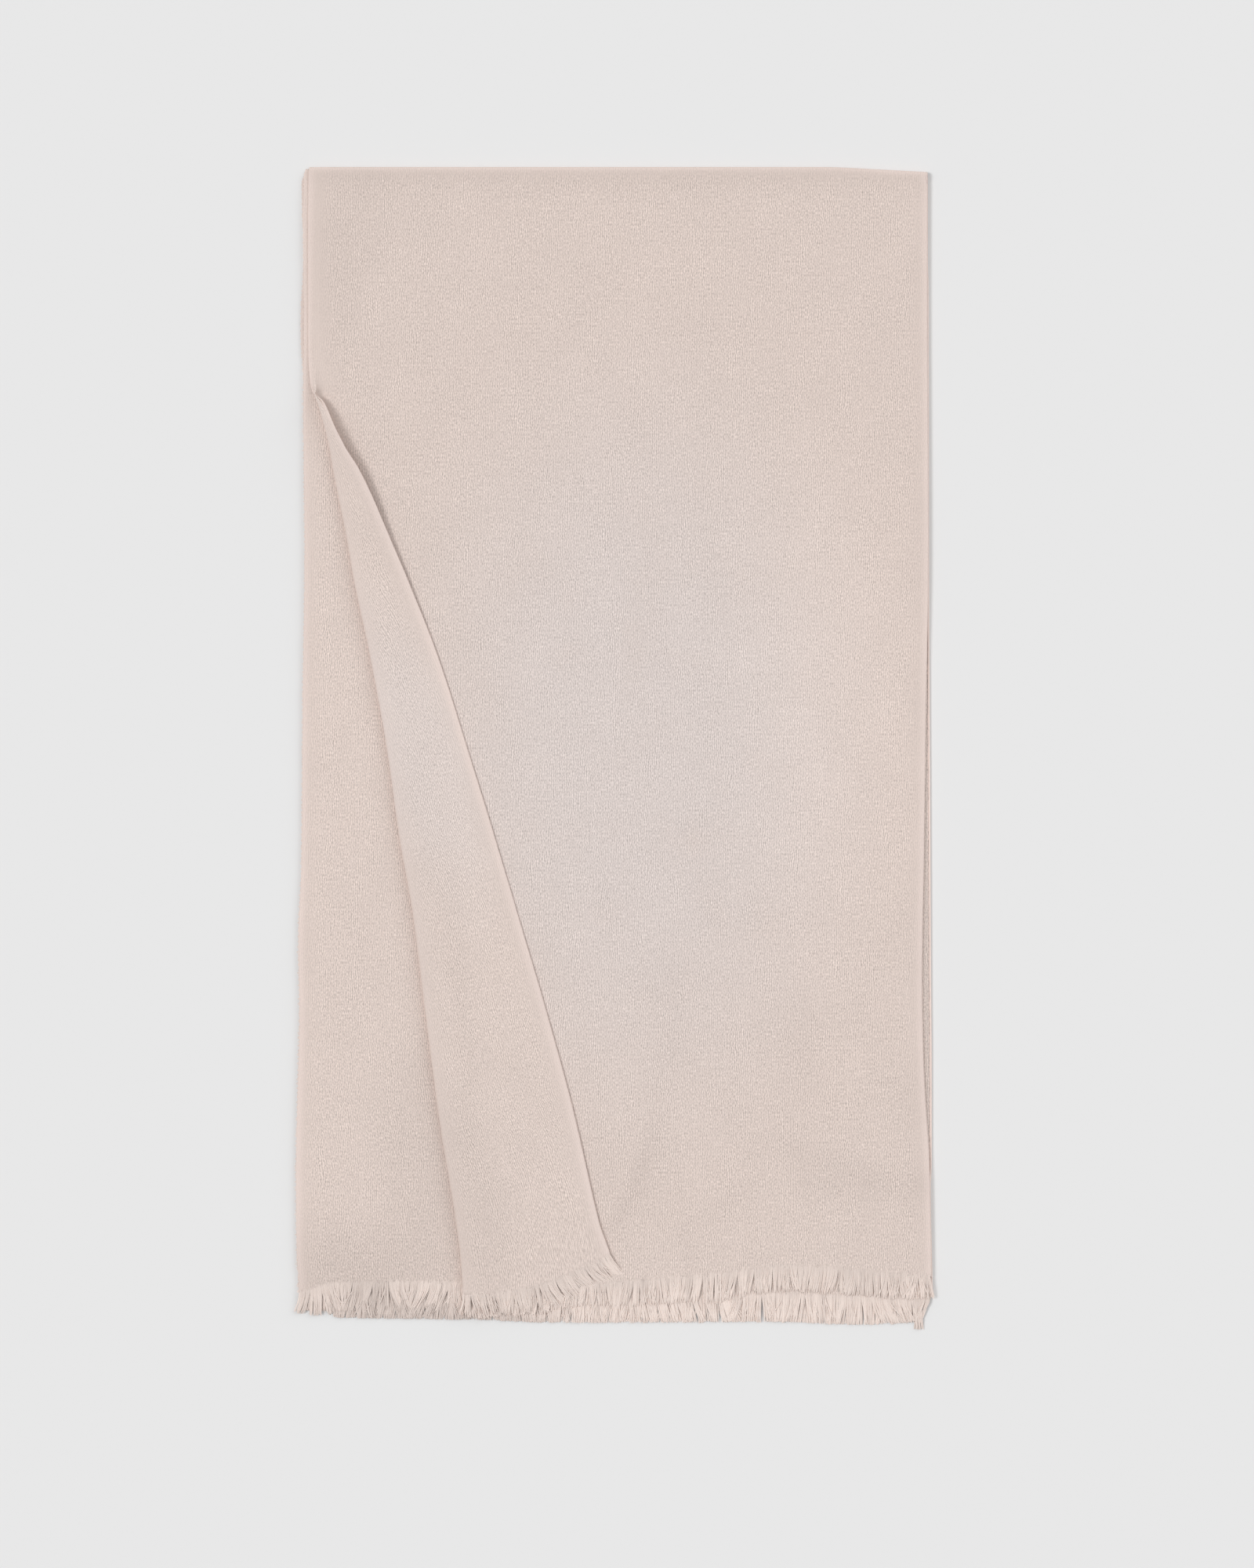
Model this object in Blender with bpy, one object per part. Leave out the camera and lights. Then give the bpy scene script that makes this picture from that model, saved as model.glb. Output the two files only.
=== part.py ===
"""A pashmina shawl, folded in half lengthwise and then crosswise, lying flat.

The cloth is one rectangle with a short fringe at each woven end. Folded in four it lies in four
layers, numbered from the top. The lengthwise folds are on the right (+X), the selvedges on the left,
the crosswise fold is at the top (+Y) and both fringed ends are at the bottom (-Y). The left side of
layer 1 is turned back over itself to the right, and shows layer 2 beside it.

Layer 1 is one wall, bent round both folds and through the turn-back. Layers 2 to 4 share one solid
whose rim is layered. Each fringe is a narrow strip, parted from its woven end, with its locks.
"""

import math
import random

import bmesh
import bpy
import numpy as np

# Cloth, in metres
WALL = 0.0012  # one layer of the loosely woven cloth
GAP = 0.0003  # between layers, and between a woven end and its fringe's strip
PITCH = WALL + GAP
TOP_MIDDLE = 3 * PITCH + WALL / 2  # height of the middle of layer 1
SECOND_MIDDLE = TOP_MIDDLE - PITCH
PAIR_MIDDLE = PITCH - GAP / 2  # between layers 3 and 4

# Folds
CROSS_RADIUS = (TOP_MIDDLE - WALL / 2) / 2  # layer 1 runs on into layer 4
LENGTH_RADIUS = PITCH / 2  # layer 1 runs on into layer 2, and layer 3 into layer 4
NOSE = LENGTH_RADIUS + WALL / 2  # outer radius of a fold between two neighbouring layers
OPENED, FOLDED = 0.003, 0.012  # the lengthwise fold opens out this near the crosswise fold's axis
SETTLE = 0.050  # the turned-back cloth comes down to the panel over this width

# Rims of the layers under the top one
RIM_ROUNDING = 0.00025
OPEN_GROOVE = 0.0016  # how far the rim draws in between two open edges
FOLD_GROOVE = 0.0003  # and between two layers that a fold joins

# Fringe
STRIP_WIDTH = 0.0020
LOCK_PITCH = 0.0050
LOCK_ROOT = 0.0039  # a lock's width where it leaves the strip
LOCK_RINGS = ((0.34, 0.86, 0.85), (0.74, 0.62, 0.65))  # (share of its length, width, thickness)
FLOOR_GAP = 0.0003
BACK_DROPS = (-0.0003, 0.0009)  # the back end's locks lie at two levels by turns
LEAN_SPREAD = 2.5  # degrees
LENGTH_SPREAD = (0.90, 1.06)

CLOTH_COLOUR = (0.70, 0.60, 0.555)
FRINGE_COLOUR = (0.73, 0.64, 0.60)
ROUGHNESS = 0.92
RIM_ANGLE = math.radians(40)  # a sharper edge than this is a rim, and isn't shaded smooth

STRAIGHT = 1e-6  # an arc that turns less than this, in radians, is a straight line
RIGHT = np.array([1.0, 0.0, 0.0])
DOWN_THE_CLOTH = np.array([0.0, -1.0, 0.0])
UP = np.array([0.0, 0.0, 1.0])


def table(names, *rows):
    """A table with named columns: {name: the values of that column}."""
    return {name: np.array(column, float) for name, column in zip(names.split(), zip(*rows))}


# The outline. x runs to the right and y up the cloth, from the middle of the folded shawl.
TOP_LINE = table(
    "x y",
    (-0.275, 0.5015),
    (0.180, 0.5015),
    (0.234, 0.4991),
    (0.272, 0.4971),
)
RIGHT_LINES = table(
    "y upper lower",
    (0.500, 0.2720, 0.2723),
    (0.420, 0.2718, 0.2723),
    (0.400, 0.2718, 0.2730),
    (0.170, 0.2727, 0.2733),
    (0.034, 0.2706, 0.2740),
    (-0.088, 0.2690, 0.2746),
    (-0.210, 0.2672, 0.2752),
    (-0.282, 0.2686, 0.2757),
    (-0.367, 0.2735, 0.2757),
    (-0.382, 0.2740, 0.2748),
    (-0.470, 0.2754, 0.2765),
)
LEFT_LINES = table(
    "y second third fourth",
    (0.4850, -0.2693, -0.2690, -0.2713),
    (0.4700, -0.2700, -0.2680, -0.2712),
    (0.4400, -0.2699, -0.2682, -0.2696),
    (0.4000, -0.2697, -0.2706, -0.2690),
    (0.3750, -0.2695, -0.2720, -0.2690),
    (0.3500, -0.2694, -0.2720, -0.2700),
    (0.3130, -0.2697, -0.2690, -0.2684),
    (0.2400, -0.2693, -0.2684, -0.2679),
    (0.1700, -0.2686, -0.2682, -0.2676),
    (0.0340, -0.2703, -0.2692, -0.2688),
    (-0.1020, -0.2713, -0.2705, -0.2698),
    (-0.1700, -0.2740, -0.2722, -0.2706),
    (-0.2380, -0.2730, -0.2722, -0.2726),
    (-0.3060, -0.2747, -0.2730, -0.2735),
    (-0.3740, -0.2760, -0.2745, -0.2735),
    (-0.4420, -0.2754, -0.2738, -0.2745),
    (-0.4620, -0.2738, -0.2728, -0.2734),
)
CORNER_YS = {"second": 0.4944, "third": 0.4925, "fourth": 0.4892}  # where the left edges start
PANEL_END = table(
    "x y",
    (-0.135, -0.4756),
    (-0.060, -0.4712),
    (0.000, -0.4668),
    (0.045, -0.4630),
    (0.096, -0.4590),
    (0.143, -0.4524),
    (0.175, -0.4529),
    (0.206, -0.4556),
    (0.237, -0.4583),
    (0.275, -0.4610),
)
SECOND_END = table(
    "x y",
    (-0.272, -0.4753),
    (-0.262, -0.4721),
    (-0.250, -0.4689),
    (-0.224, -0.4664),
    (-0.130, -0.4665),
    (-0.060, -0.4662),
    (0.045, -0.4600),
    (0.143, -0.4494),
    (0.206, -0.4526),
    (0.275, -0.4580),
)
LOWER_END = table(
    "x y",
    (-0.272, -0.4770),
    (-0.255, -0.4765),
    (-0.130, -0.4765),
    (-0.060, -0.4780),
    (0.045, -0.4775),
    (0.140, -0.4760),
    (0.206, -0.4785),
    (0.276, -0.4790),
)
BOTTOM_XS = np.concatenate([[-0.271, -0.262], np.linspace(-0.250, 0.260, 15), [0.272]])
CORNER_INSET = 0.002  # the lower layers' top edge stops this far from layer 1's corners

# The turn-back, a row for each section down the cloth: where its fold stands on the left, the length
# of the bend along the cloth, how far the bend turns, the width of cloth past the bend, and how high
# the selvedge stands over the panel.
TURN_BACK = table(
    "y fold_x bend turn width height",
    (0.5015, -0.2645, 0.0060, 0, 0.0040, 0.0000),
    (0.4937, -0.2690, 0.0060, 0, 0.0040, 0.0000),
    (0.4556, -0.2672, 0.0060, 0, 0.0040, 0.0000),
    (0.3638, -0.2660, 0.0060, 0, 0.0040, 0.0000),
    (0.3420, -0.2656, 0.0060, 12, 0.0041, 0.0016),
    (0.3142, -0.2652, 0.0062, 55, 0.0043, 0.0063),
    (0.2978, -0.2611, 0.0066, 95, 0.0050, 0.0092),
    (0.2788, -0.2530, 0.0083, 130, 0.0074, 0.0115),
    (0.2584, -0.2475, 0.0100, 155, 0.0120, 0.0106),
    (0.2380, -0.2441, 0.0112, 172, 0.0194, 0.0090),
    (0.2108, -0.2387, 0.0116, 180, 0.0263, 0.0070),
    (0.1802, -0.2326, 0.0116, 180, 0.0331, 0.0053),
    (0.1414, -0.2258, 0.0114, 180, 0.0428, 0.0036),
    (0.0775, -0.2122, 0.0112, 180, 0.0543, 0.0019),
    (-0.0054, -0.1972, 0.0110, 180, 0.0659, 0.0016),
    (-0.0782, -0.1870, 0.0110, 180, 0.0782, 0.0016),
    (-0.1442, -0.1754, 0.0110, 180, 0.0863, 0.0016),
    (-0.2244, -0.1652, 0.0110, 180, 0.0999, 0.0016),
    (-0.3284, -0.1516, 0.0108, 180, 0.1143, 0.0016),
    (-0.4114, -0.1380, 0.0104, 180, 0.1198, 0.0016),
    (-0.4427, -0.1340, 0.0102, 180, 0.1265, 0.0016),
    (-0.4638, -0.1322, 0.0100, 180, 0.1300, 0.0016),
)
TURN_BACK_END = table(  # where the turned-back cloth ends, by the share of its width past the bend
    "share y",
    (0.00, -0.4762),
    (0.22, -0.4751),
    (0.38, -0.4722),
    (0.53, -0.4672),
    (0.67, -0.4602),
    (0.84, -0.4515),
    (1.00, -0.4427),
)

# How each fringe's locks lean from straight down the cloth towards +X, in degrees, and their length,
# by the share of the way along it from the left.
PANEL_FRINGE = table(
    "share lean length",
    (0.00, 6, 0.0200),
    (0.12, -4, 0.0205),
    (0.25, 3, 0.0150),
    (0.38, -6, 0.0190),
    (0.55, 3, 0.0215),
    (0.68, 7, 0.0195),
    (0.78, -4, 0.0200),
    (0.90, 5, 0.0195),
    (1.00, 3, 0.0190),
)
TURNED_BACK_FRINGE = table(
    "share lean length",
    (0.00, -2, 0.0160),
    (0.30, 3, 0.0160),
    (0.50, 10, 0.0180),
    (0.70, 22, 0.0200),
    (0.88, 29, 0.0190),
    (1.00, 30, 0.0180),
)
SECOND_FRINGE = table(
    "share lean length",
    (0.00, -3, 0.0150),
    (0.16, 5, 0.0225),
    (0.40, -4, 0.0235),
    (0.60, 5, 0.0225),
    (0.80, -7, 0.0230),
    (1.00, -2, 0.0225),
)
BACK_END_FRINGE = table(
    "share lean length",
    (0.00, 6, 0.0170),
    (0.15, -4, 0.0185),
    (0.30, 4, 0.0190),
    (0.47, -5, 0.0195),
    (0.62, 4, 0.0205),
    (0.78, -5, 0.0210),
    (0.92, 7, 0.0205),
    (1.00, 2, 0.0190),
)

# Steps of the top layer's grid: across it, and down it as (from y, to y, steps)
CROSS_STEPS = 6
LENGTH_STEPS = 4
PANEL_STEPS = 9
BEND_STEPS = 7
FLAP_STEPS = 7
FIRST_Y, LAST_Y = 0.4987, -0.4660
DOWN_STEPS = (
    (FIRST_Y, FIRST_Y - OPENED, 1),
    (FIRST_Y - OPENED, FIRST_Y - FOLDED, 4),
    (FIRST_Y - FOLDED, 0.360, 4),
    (0.360, 0.170, 13),
    (0.170, -0.430, 11),
    (-0.430, LAST_Y, 2),
)


def curve(points, key, column, place):
    """A column's value at a place in the key column, on a smooth curve that never overshoots."""
    order = np.argsort(points[key])
    known, values = points[key][order], points[column][order]
    place = np.clip(place, known[0], known[-1])
    steps = np.diff(known)
    slopes = np.diff(values) / steps
    before, after = slopes[:-1], slopes[1:]
    turning = before * after <= 0
    harmonic = 2 * before * after / np.where(turning, 1, before + after)
    tangents = np.concatenate([slopes[:1], np.where(turning, 0, harmonic), slopes[-1:]])
    index = np.clip(np.searchsorted(known, place) - 1, 0, len(steps) - 1)
    step = steps[index]
    t = (place - known[index]) / step
    return (
        values[index] * (1 + 2 * t) * (1 - t) ** 2
        + values[index + 1] * t**2 * (3 - 2 * t)
        + step * t * (1 - t) * (tangents[index] * (1 - t) - tangents[index + 1] * t)
    )


def ease(t):
    """0 to 1, level at both ends."""
    t = min(max(t, 0.0), 1.0)
    return t * t * (3 - 2 * t)


def arc(length, turn, share):
    """(forward, up) of the point at a share of an arc of this length that turns through turn."""
    turn = max(turn, STRAIGHT)
    radius = length / turn
    return radius * math.sin(turn * share), radius * (1 - math.cos(turn * share))


def unit(vectors):
    return vectors / np.linalg.norm(vectors, axis=-1, keepdims=True)


def clear_scene():
    for obj in list(bpy.data.objects):
        bpy.data.objects.remove(obj)


def cloth(name, colour):
    """A matt woven finish."""
    made = bpy.data.materials.new(name)
    made.use_nodes = True
    shader = made.node_tree.nodes["Principled BSDF"]
    shader.inputs["Base Color"].default_value = (*colour, 1.0)
    shader.inputs["Roughness"].default_value = ROUGHNESS
    shader.inputs["Metallic"].default_value = 0.0
    return made


def body(name, points, faces, colour):
    """A named object, its faces turned outwards and shaded smooth but for its rims."""
    mesh = bpy.data.meshes.new(name)
    mesh.from_pydata([tuple(map(float, point)) for point in points], [], faces)
    work = bmesh.new()
    work.from_mesh(mesh)
    bmesh.ops.recalc_face_normals(work, faces=work.faces)
    work.to_mesh(mesh)
    work.free()
    mesh.materials.append(cloth(name, colour))
    mesh.shade_smooth()
    mesh.set_sharp_from_angle(angle=RIM_ANGLE)
    obj = bpy.data.objects.new(name, mesh)
    bpy.context.scene.collection.objects.link(obj)


# The top layer


def top_axis(x):
    """The y of the crosswise fold's axis."""
    return curve(TOP_LINE, "x", "y", np.array(x)) - CROSS_RADIUS - WALL / 2


def length_fold(y):
    """The lengthwise fold at y: the x where the panel starts, and (x, z) round to its far end."""
    turn = math.pi * ease((FIRST_Y - OPENED - y) / (FOLDED - OPENED))
    length = math.pi * LENGTH_RADIUS
    reach = arc(length, turn, min(1.0, math.pi / 2 / max(turn, STRAIGHT)))[0]
    start = curve(RIGHT_LINES, "y", "upper", y) - WALL / 2 - reach
    steps = [arc(length, turn, step / LENGTH_STEPS) for step in range(LENGTH_STEPS, 0, -1)]
    return start, [(start + right, -down) for right, down in steps]


def turn_back(y, share):
    """(x, z) past the panel: share runs from 0 to 1 round the bend, and to 2 across the flap."""
    fold_x, bend, turn, width, height = (
        float(curve(TURN_BACK, "y", column, y)) for column in ("fold_x", "bend", "turn", "width", "height")
    )
    turn = math.radians(turn)
    upright = math.pi / 2
    past_upright = turn > upright
    reach = arc(bend, turn, upright / turn if past_upright else 1.0)[0]
    reach += 0 if past_upright else width * math.cos(turn)
    tangent_x = fold_x + WALL / 2 * math.sin(min(turn, upright)) + reach
    left, up = arc(bend, turn, min(share, 1.0))
    past = max(0.0, share - 1) * width
    unsettled = arc(bend, turn, 1.0)[1] + width * math.sin(turn)
    settled = (unsettled - height) * ease(past / min(width, SETTLE))
    return tangent_x - left - past * math.cos(turn), up + past * math.sin(turn) - settled


def end_y(x, share):
    """The y of the woven end: of the panel at x, or of the turned-back cloth at a share past it."""
    if share is None:
        return float(curve(PANEL_END, "x", "y", x))
    start = float(curve(PANEL_END, "x", "y", PANEL_END["x"][0]))
    past_bend = float(curve(TURN_BACK_END, "share", "y", max(0.0, share - 1)))
    return start + (past_bend - start) * min(share, 1.0)


def top_section(y):
    """Layer 1 at y, from under the right fold to the selvedge: (x, z, share of the turn-back)."""
    start, fold = length_fold(y)
    end = turn_back(y, 0.0)[0]
    found = [(x, z, None) for x, z in fold]
    found += [(start + (end - start) * step / PANEL_STEPS, 0.0, None) for step in range(PANEL_STEPS)]
    shares = [step / BEND_STEPS for step in range(BEND_STEPS)]
    shares += [1 + step / FLAP_STEPS for step in range(FLAP_STEPS + 1)]
    return found + [(*turn_back(y, share), share) for share in shares]


def crosswise_rows():
    """Layer 1 from its end beside layer 4 up round the crosswise fold."""
    first = top_section(TOP_LINE["y"][0])
    rows = []
    for step in range(CROSS_STEPS):
        angle = math.pi * (1 - step / CROSS_STEPS)
        out, up = CROSS_RADIUS * math.sin(angle), CROSS_RADIUS * (1 + math.cos(angle))
        rows.append([(x, top_axis(x) + out, WALL / 2 + up) for x, _, _ in first])
    return rows


def downward_rows():
    """Layer 1 from the crosswise fold down to its woven end."""
    ys = [a + (b - a) * step / steps for a, b, steps in DOWN_STEPS for step in range(steps)]
    rows = []
    for y in ys + [LAST_Y]:
        down = (FIRST_Y - y) / (FIRST_Y - LAST_Y)
        row = []
        for x, z, share in top_section(y):
            own_y = top_axis(x) + (end_y(x, share) - top_axis(x)) * down
            if share is not None:
                x, z = turn_back(own_y, share)
            row.append((x, own_y, TOP_MIDDLE + z))
        rows.append(row)
    return rows


def grid_normals(middle):
    down, across = np.gradient(middle, axis=0), np.gradient(middle, axis=1)
    return unit(np.cross(across, down))


def front_layer(middle):
    """A wall of even thickness about a grid of points in its middle."""
    rows, columns = middle.shape[:2]
    half = grid_normals(middle) * WALL / 2
    points = np.concatenate([(middle + half).reshape(-1, 3), (middle - half).reshape(-1, 3)])
    index = np.arange(2 * rows * columns).reshape(2, rows, columns)
    faces = []
    for side in index:
        corners = side[:-1, :-1], side[:-1, 1:], side[1:, 1:], side[1:, :-1]
        faces += np.stack(corners, axis=-1).reshape(-1, 4).tolist()
    for rim in (index[:, 0], index[:, -1], index[:, :, 0], index[:, :, -1]):
        corners = rim[0, :-1], rim[0, 1:], rim[1, 1:], rim[1, :-1]
        faces += np.stack(corners, axis=-1).tolist()
    body("front_layer", points, faces, CLOTH_COLOUR)


# The layers under it


def under_outline(layer, left, right, top, bottom):
    """The outline of one of the lower layers, drawn in by these amounts, anticlockwise."""
    end, side = (SECOND_END, "upper") if layer == "second" else (LOWER_END, "lower")
    top_reach = -GAP if layer == "fourth" else NOSE
    right_inset = right + (NOSE + GAP if layer == "second" else 0.0)
    found = [(x + left, y) for x, y in zip(LEFT_LINES[layer], LEFT_LINES["y"])]
    found += [(x, curve(end, "x", "y", x) + bottom) for x in BOTTOM_XS]
    lowest = curve(end, "x", "y", BOTTOM_XS[-1]) + 2 * OPEN_GROOVE
    for y in (lowest, *RIGHT_LINES["y"][-2:0:-1], RIGHT_LINES["y"][0] - FOLDED):
        found.append((curve(RIGHT_LINES, "y", side, y) - right_inset, y))
    columns = [x for x, _, _ in top_section(TOP_LINE["y"][0])]
    inner = [x for x in columns if columns[-1] + CORNER_INSET < x < columns[0] - CORNER_INSET]
    for x in (columns[0] - CORNER_INSET, *inner, columns[-1] + CORNER_INSET):
        found.append((x, np.interp(x, columns[::-1], top_axis(columns[::-1])) + top_reach - top))
    found.append((LEFT_LINES[layer][0] + left, CORNER_YS[layer] - top))
    return found


def drawn_in(height, fold_middle):
    """How far a folded edge draws in at a height, round a nose about fold_middle."""
    return NOSE - math.sqrt(max(0.0, NOSE**2 - (height - fold_middle) ** 2))


def under_rings():
    """(outline, height) of each ring of the lower layers, from the underside up."""
    rings = []
    for number, layer in enumerate(("fourth", "third", "second")):
        base = number * PITCH
        for above, rim in ((0.0, RIM_ROUNDING), (WALL / 2, 0.0), (WALL, RIM_ROUNDING)):
            height = base + above
            right = rim if layer == "second" else drawn_in(height, PAIR_MIDDLE)
            top = rim if layer == "fourth" else drawn_in(height, PAIR_MIDDLE + PITCH)
            ring = under_outline(layer, rim, right, top, rim), height
            between_pair = height in (WALL, PITCH)
            right += FOLD_GROOVE if between_pair else OPEN_GROOVE
            top += OPEN_GROOVE if between_pair else FOLD_GROOVE
            groove = under_outline(layer, rim + OPEN_GROOVE, right, top, rim + OPEN_GROOVE), height
            below = [groove] if above == 0.0 and layer != "fourth" else []
            after = [groove] if above == WALL and layer != "second" else []
            rings += below + [ring] + after
    return rings


def under_layers():
    rings = under_rings()
    count = len(rings[0][0])
    points = [(x, y, height) for outline, height in rings for x, y in outline]
    faces = [list(range(count)), list(range(len(points) - count, len(points)))]
    for base in range(0, len(points) - count, count):
        for here in range(count):
            there = (here + 1) % count
            faces.append([base + here, base + there, base + count + there, base + count + here])
    body("under_layers", points, faces, CLOTH_COLOUR)


# The fringes


class End:
    """A woven end from left to right: points in the middle of the cloth, and the way up at each."""

    def __init__(self, points, ups):
        self.points, self.ups = np.array(points, float), np.array(ups, float)
        steps = np.linalg.norm(np.diff(self.points, axis=0), axis=1)
        self.places = np.concatenate([[0.0], np.cumsum(steps)])
        self.length = self.places[-1]

    def at(self, place, values):
        return np.array([np.interp(place, self.places, values[:, axis]) for axis in range(3)])

    def frame(self, place):
        """(point, way along, way out of the cloth, way up) at a distance along the end."""
        reach = STRIP_WIDTH
        along = unit(self.at(place + reach, self.points) - self.at(place - reach, self.points))
        up = unit(self.at(place, self.ups))
        out = unit(np.cross(along, up))
        return self.at(place, self.points), along, out, up


def level_end(points, left_x, right_x, height):
    """The stretch of a level woven end between two x, along the same points as the cloth's edge."""
    xs, ys = np.array(points, float).T
    kept = [left_x, *xs[(xs > left_x) & (xs < right_x)], right_x]
    return End([(x, np.interp(x, xs, ys), height) for x in kept], [UP] * len(kept))


def strip_places(length):
    """Where a strip's faces meet: each lock's root is a face, with a narrow face on both its sides."""
    count = int(length // LOCK_PITCH)
    margin = (length - count * LOCK_PITCH) / 2
    middles = [margin + (number + 0.5) * LOCK_PITCH for number in range(count)]
    sides = [middle + side * LOCK_ROOT / 2 for middle in middles for side in (-1, 1)]
    return [0.0, *sides, length]


def lock(root, along, up, lean, length, drop):
    """A lock's rings past its root, and its tip: it swings to its lean, thins, and drops."""
    swung = DOWN_THE_CLOTH * math.cos(lean) + RIGHT * math.sin(lean)
    across = unit(along - swung * (along @ swung))
    rings = []
    for share, wide, thick in LOCK_RINGS:
        centre = root + swung * length * share - UP * drop * share
        half_width, half_thickness = across * LOCK_ROOT * wide / 2, up * WALL * thick / 2
        corners = ((-1, -1), (-1, 1), (1, 1), (1, -1))
        rings.append([centre + a * half_width + b * half_thickness for a, b in corners])
    return rings, root + swung * length - UP * drop


def fringe(name, end, form, drop_of, strip_thickness, seed):
    """A strip along a woven end, GAP away from it, with a row of locks out of its front face.

    drop_of gives how far a lock's tip lies below its root, from the root's height and its number.
    """
    chance = random.Random(seed)
    places = strip_places(end.length)
    points = []
    for place in places:
        at, _, out, up = end.frame(place)
        for away, side in ((0, -1), (0, 1), (STRIP_WIDTH, 1), (STRIP_WIDTH, -1)):
            points.append(at + out * (GAP + away) + up * side * strip_thickness / 2)
    last = 4 * (len(places) - 1)
    faces = [[0, 1, 2, 3], [last, last + 1, last + 2, last + 3]]
    for number, here in enumerate(range(0, last, 4)):
        there = here + 4
        faces += [[here + a, here + b, there + b, there + a] for a, b in ((0, 1), (1, 2), (3, 0))]
        front = [here + 3, here + 2, there + 2, there + 3]
        if number % 2 == 0:
            faces.append(front)
            continue
        place = (places[number] + places[number + 1]) / 2
        at, along, out, up = end.frame(place)
        root = at + out * (GAP + STRIP_WIDTH)
        share = place / end.length
        lean = curve(form, "share", "lean", share) + chance.uniform(-LEAN_SPREAD, LEAN_SPREAD)
        length = curve(form, "share", "length", share) * chance.uniform(*LENGTH_SPREAD)
        drop = drop_of(root[2], number // 2)
        rings, tip = lock(root, along, up, math.radians(lean), length, drop)
        for ring in rings:
            new = list(range(len(points), len(points) + 4))
            points += ring
            faces += [[front[a - 1], front[a], new[a], new[a - 1]] for a in range(4)]
            front = new
        points.append(tip)
        faces += [[front[a - 1], front[a], len(points) - 1] for a in range(4)]
    body(name, points, faces, FRINGE_COLOUR)


def end_line(points):
    """A woven end's (x, y) along the lower layers' rim."""
    return [(x, curve(points, "x", "y", x)) for x in BOTTOM_XS]


def build():
    clear_scene()
    middle = np.array(crosswise_rows() + downward_rows())
    front_layer(middle)
    under_layers()

    last_row, outer = middle[-1], -grid_normals(middle)[-1]
    bend_start = LENGTH_STEPS + PANEL_STEPS
    panel = last_row[LENGTH_STEPS : bend_start + 1, :2][::-1]
    flap = slice(bend_start + 2, None)
    flap_level = last_row[-1, 2]
    fold_x = panel[0, 0]
    first_x, last_x = BOTTOM_XS[0], BOTTOM_XS[-1]
    fringe(
        "fringe_front",
        level_end(panel, fold_x + 2 * GAP, panel[-1, 0], TOP_MIDDLE),
        PANEL_FRINGE,
        lambda height, number: WALL,
        WALL,
        seed=1,
    )
    fringe(
        "fringe_turned_back",
        End(last_row[flap], outer[flap]),
        TURNED_BACK_FRINGE,
        lambda height, number: max(0.0, height - flap_level),
        WALL,
        seed=2,
    )
    fringe(
        "fringe_second_layer",
        level_end(end_line(SECOND_END), first_x, fold_x - LOCK_PITCH, SECOND_MIDDLE),
        SECOND_FRINGE,
        lambda height, number: 0.0,
        WALL,
        seed=3,
    )
    fringe(
        "fringe_back_end",
        level_end(end_line(LOWER_END), first_x, last_x, PAIR_MIDDLE + FLOOR_GAP / 2),
        BACK_END_FRINGE,
        lambda height, number: BACK_DROPS[number % 2],
        2 * PAIR_MIDDLE - FLOOR_GAP,
        seed=4,
    )


build()
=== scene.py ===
"""The looks of a pashmina shawl, folded in four and lying flat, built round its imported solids.

The cloth is one rectangle, numbered in four layers from the top. The lengthwise folds are on the right
(+X), the selvedges on the left, the crosswise fold is at the top (+Y) and the fringed ends are at the
bottom (-Y). The left side of layer 1 is turned back over itself.

Each stretch of cloth is a thin shell about a grid of points in its middle, on its solid's form. Every
point also has its place in the cloth before it was folded, which the weave follows. Lengths are in
metres and leans in degrees.
"""

import math

import bpy
import numpy as np
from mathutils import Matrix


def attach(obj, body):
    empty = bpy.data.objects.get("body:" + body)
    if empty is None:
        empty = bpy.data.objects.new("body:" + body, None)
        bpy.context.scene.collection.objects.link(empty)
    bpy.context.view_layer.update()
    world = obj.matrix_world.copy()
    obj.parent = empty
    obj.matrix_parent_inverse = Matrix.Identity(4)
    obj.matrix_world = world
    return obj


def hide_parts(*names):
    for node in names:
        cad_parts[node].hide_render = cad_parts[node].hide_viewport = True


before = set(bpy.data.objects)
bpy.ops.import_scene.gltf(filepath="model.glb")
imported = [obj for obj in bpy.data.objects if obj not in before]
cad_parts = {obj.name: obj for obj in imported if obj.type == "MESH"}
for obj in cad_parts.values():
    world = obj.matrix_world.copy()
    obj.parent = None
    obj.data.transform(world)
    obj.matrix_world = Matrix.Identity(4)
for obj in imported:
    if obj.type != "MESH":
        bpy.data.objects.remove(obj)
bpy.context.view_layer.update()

# Layers and folds, as in the solids
WALL = 0.0012
GAP = 0.0003
PITCH = WALL + GAP
TOP_MIDDLE = 3 * PITCH + WALL / 2
SECOND_MIDDLE = TOP_MIDDLE - PITCH
THIRD_MIDDLE = SECOND_MIDDLE - PITCH
FOURTH_MIDDLE = WALL / 2
CROSS_RADIUS = (TOP_MIDDLE - WALL / 2) / 2  # layer 1 runs on into layer 4
LENGTH_RADIUS = PITCH / 2  # layer 1 runs on into layer 2, and layer 4 into layer 3
OPENED, FOLDED = 0.003, 0.012  # the lengthwise folds open out this near the crosswise fold's axis
SETTLE = 0.050  # the turned-back cloth comes down to the panel over this width
FIRST_Y, LAST_Y = 0.4987, -0.4660
CORNER_SLOPE = 8.0  # of the lower layers' top left corners

# The cloth that shows
CLOTH = 0.0010  # its thickness
RIM_BULGE = 0.42  # a rim stands out by this share of it
THREAD = 0.00073  # from one thread to the next, both ways

STRAIGHT = 1e-6  # an arc that turns less than this, in radians, is a straight line
UP = np.array([0.0, 0.0, 1.0])


def table(names, *rows):
    """A table with named columns: {name: the values of that column}."""
    return {name: np.array(column, float) for name, column in zip(names.split(), zip(*rows))}


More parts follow.
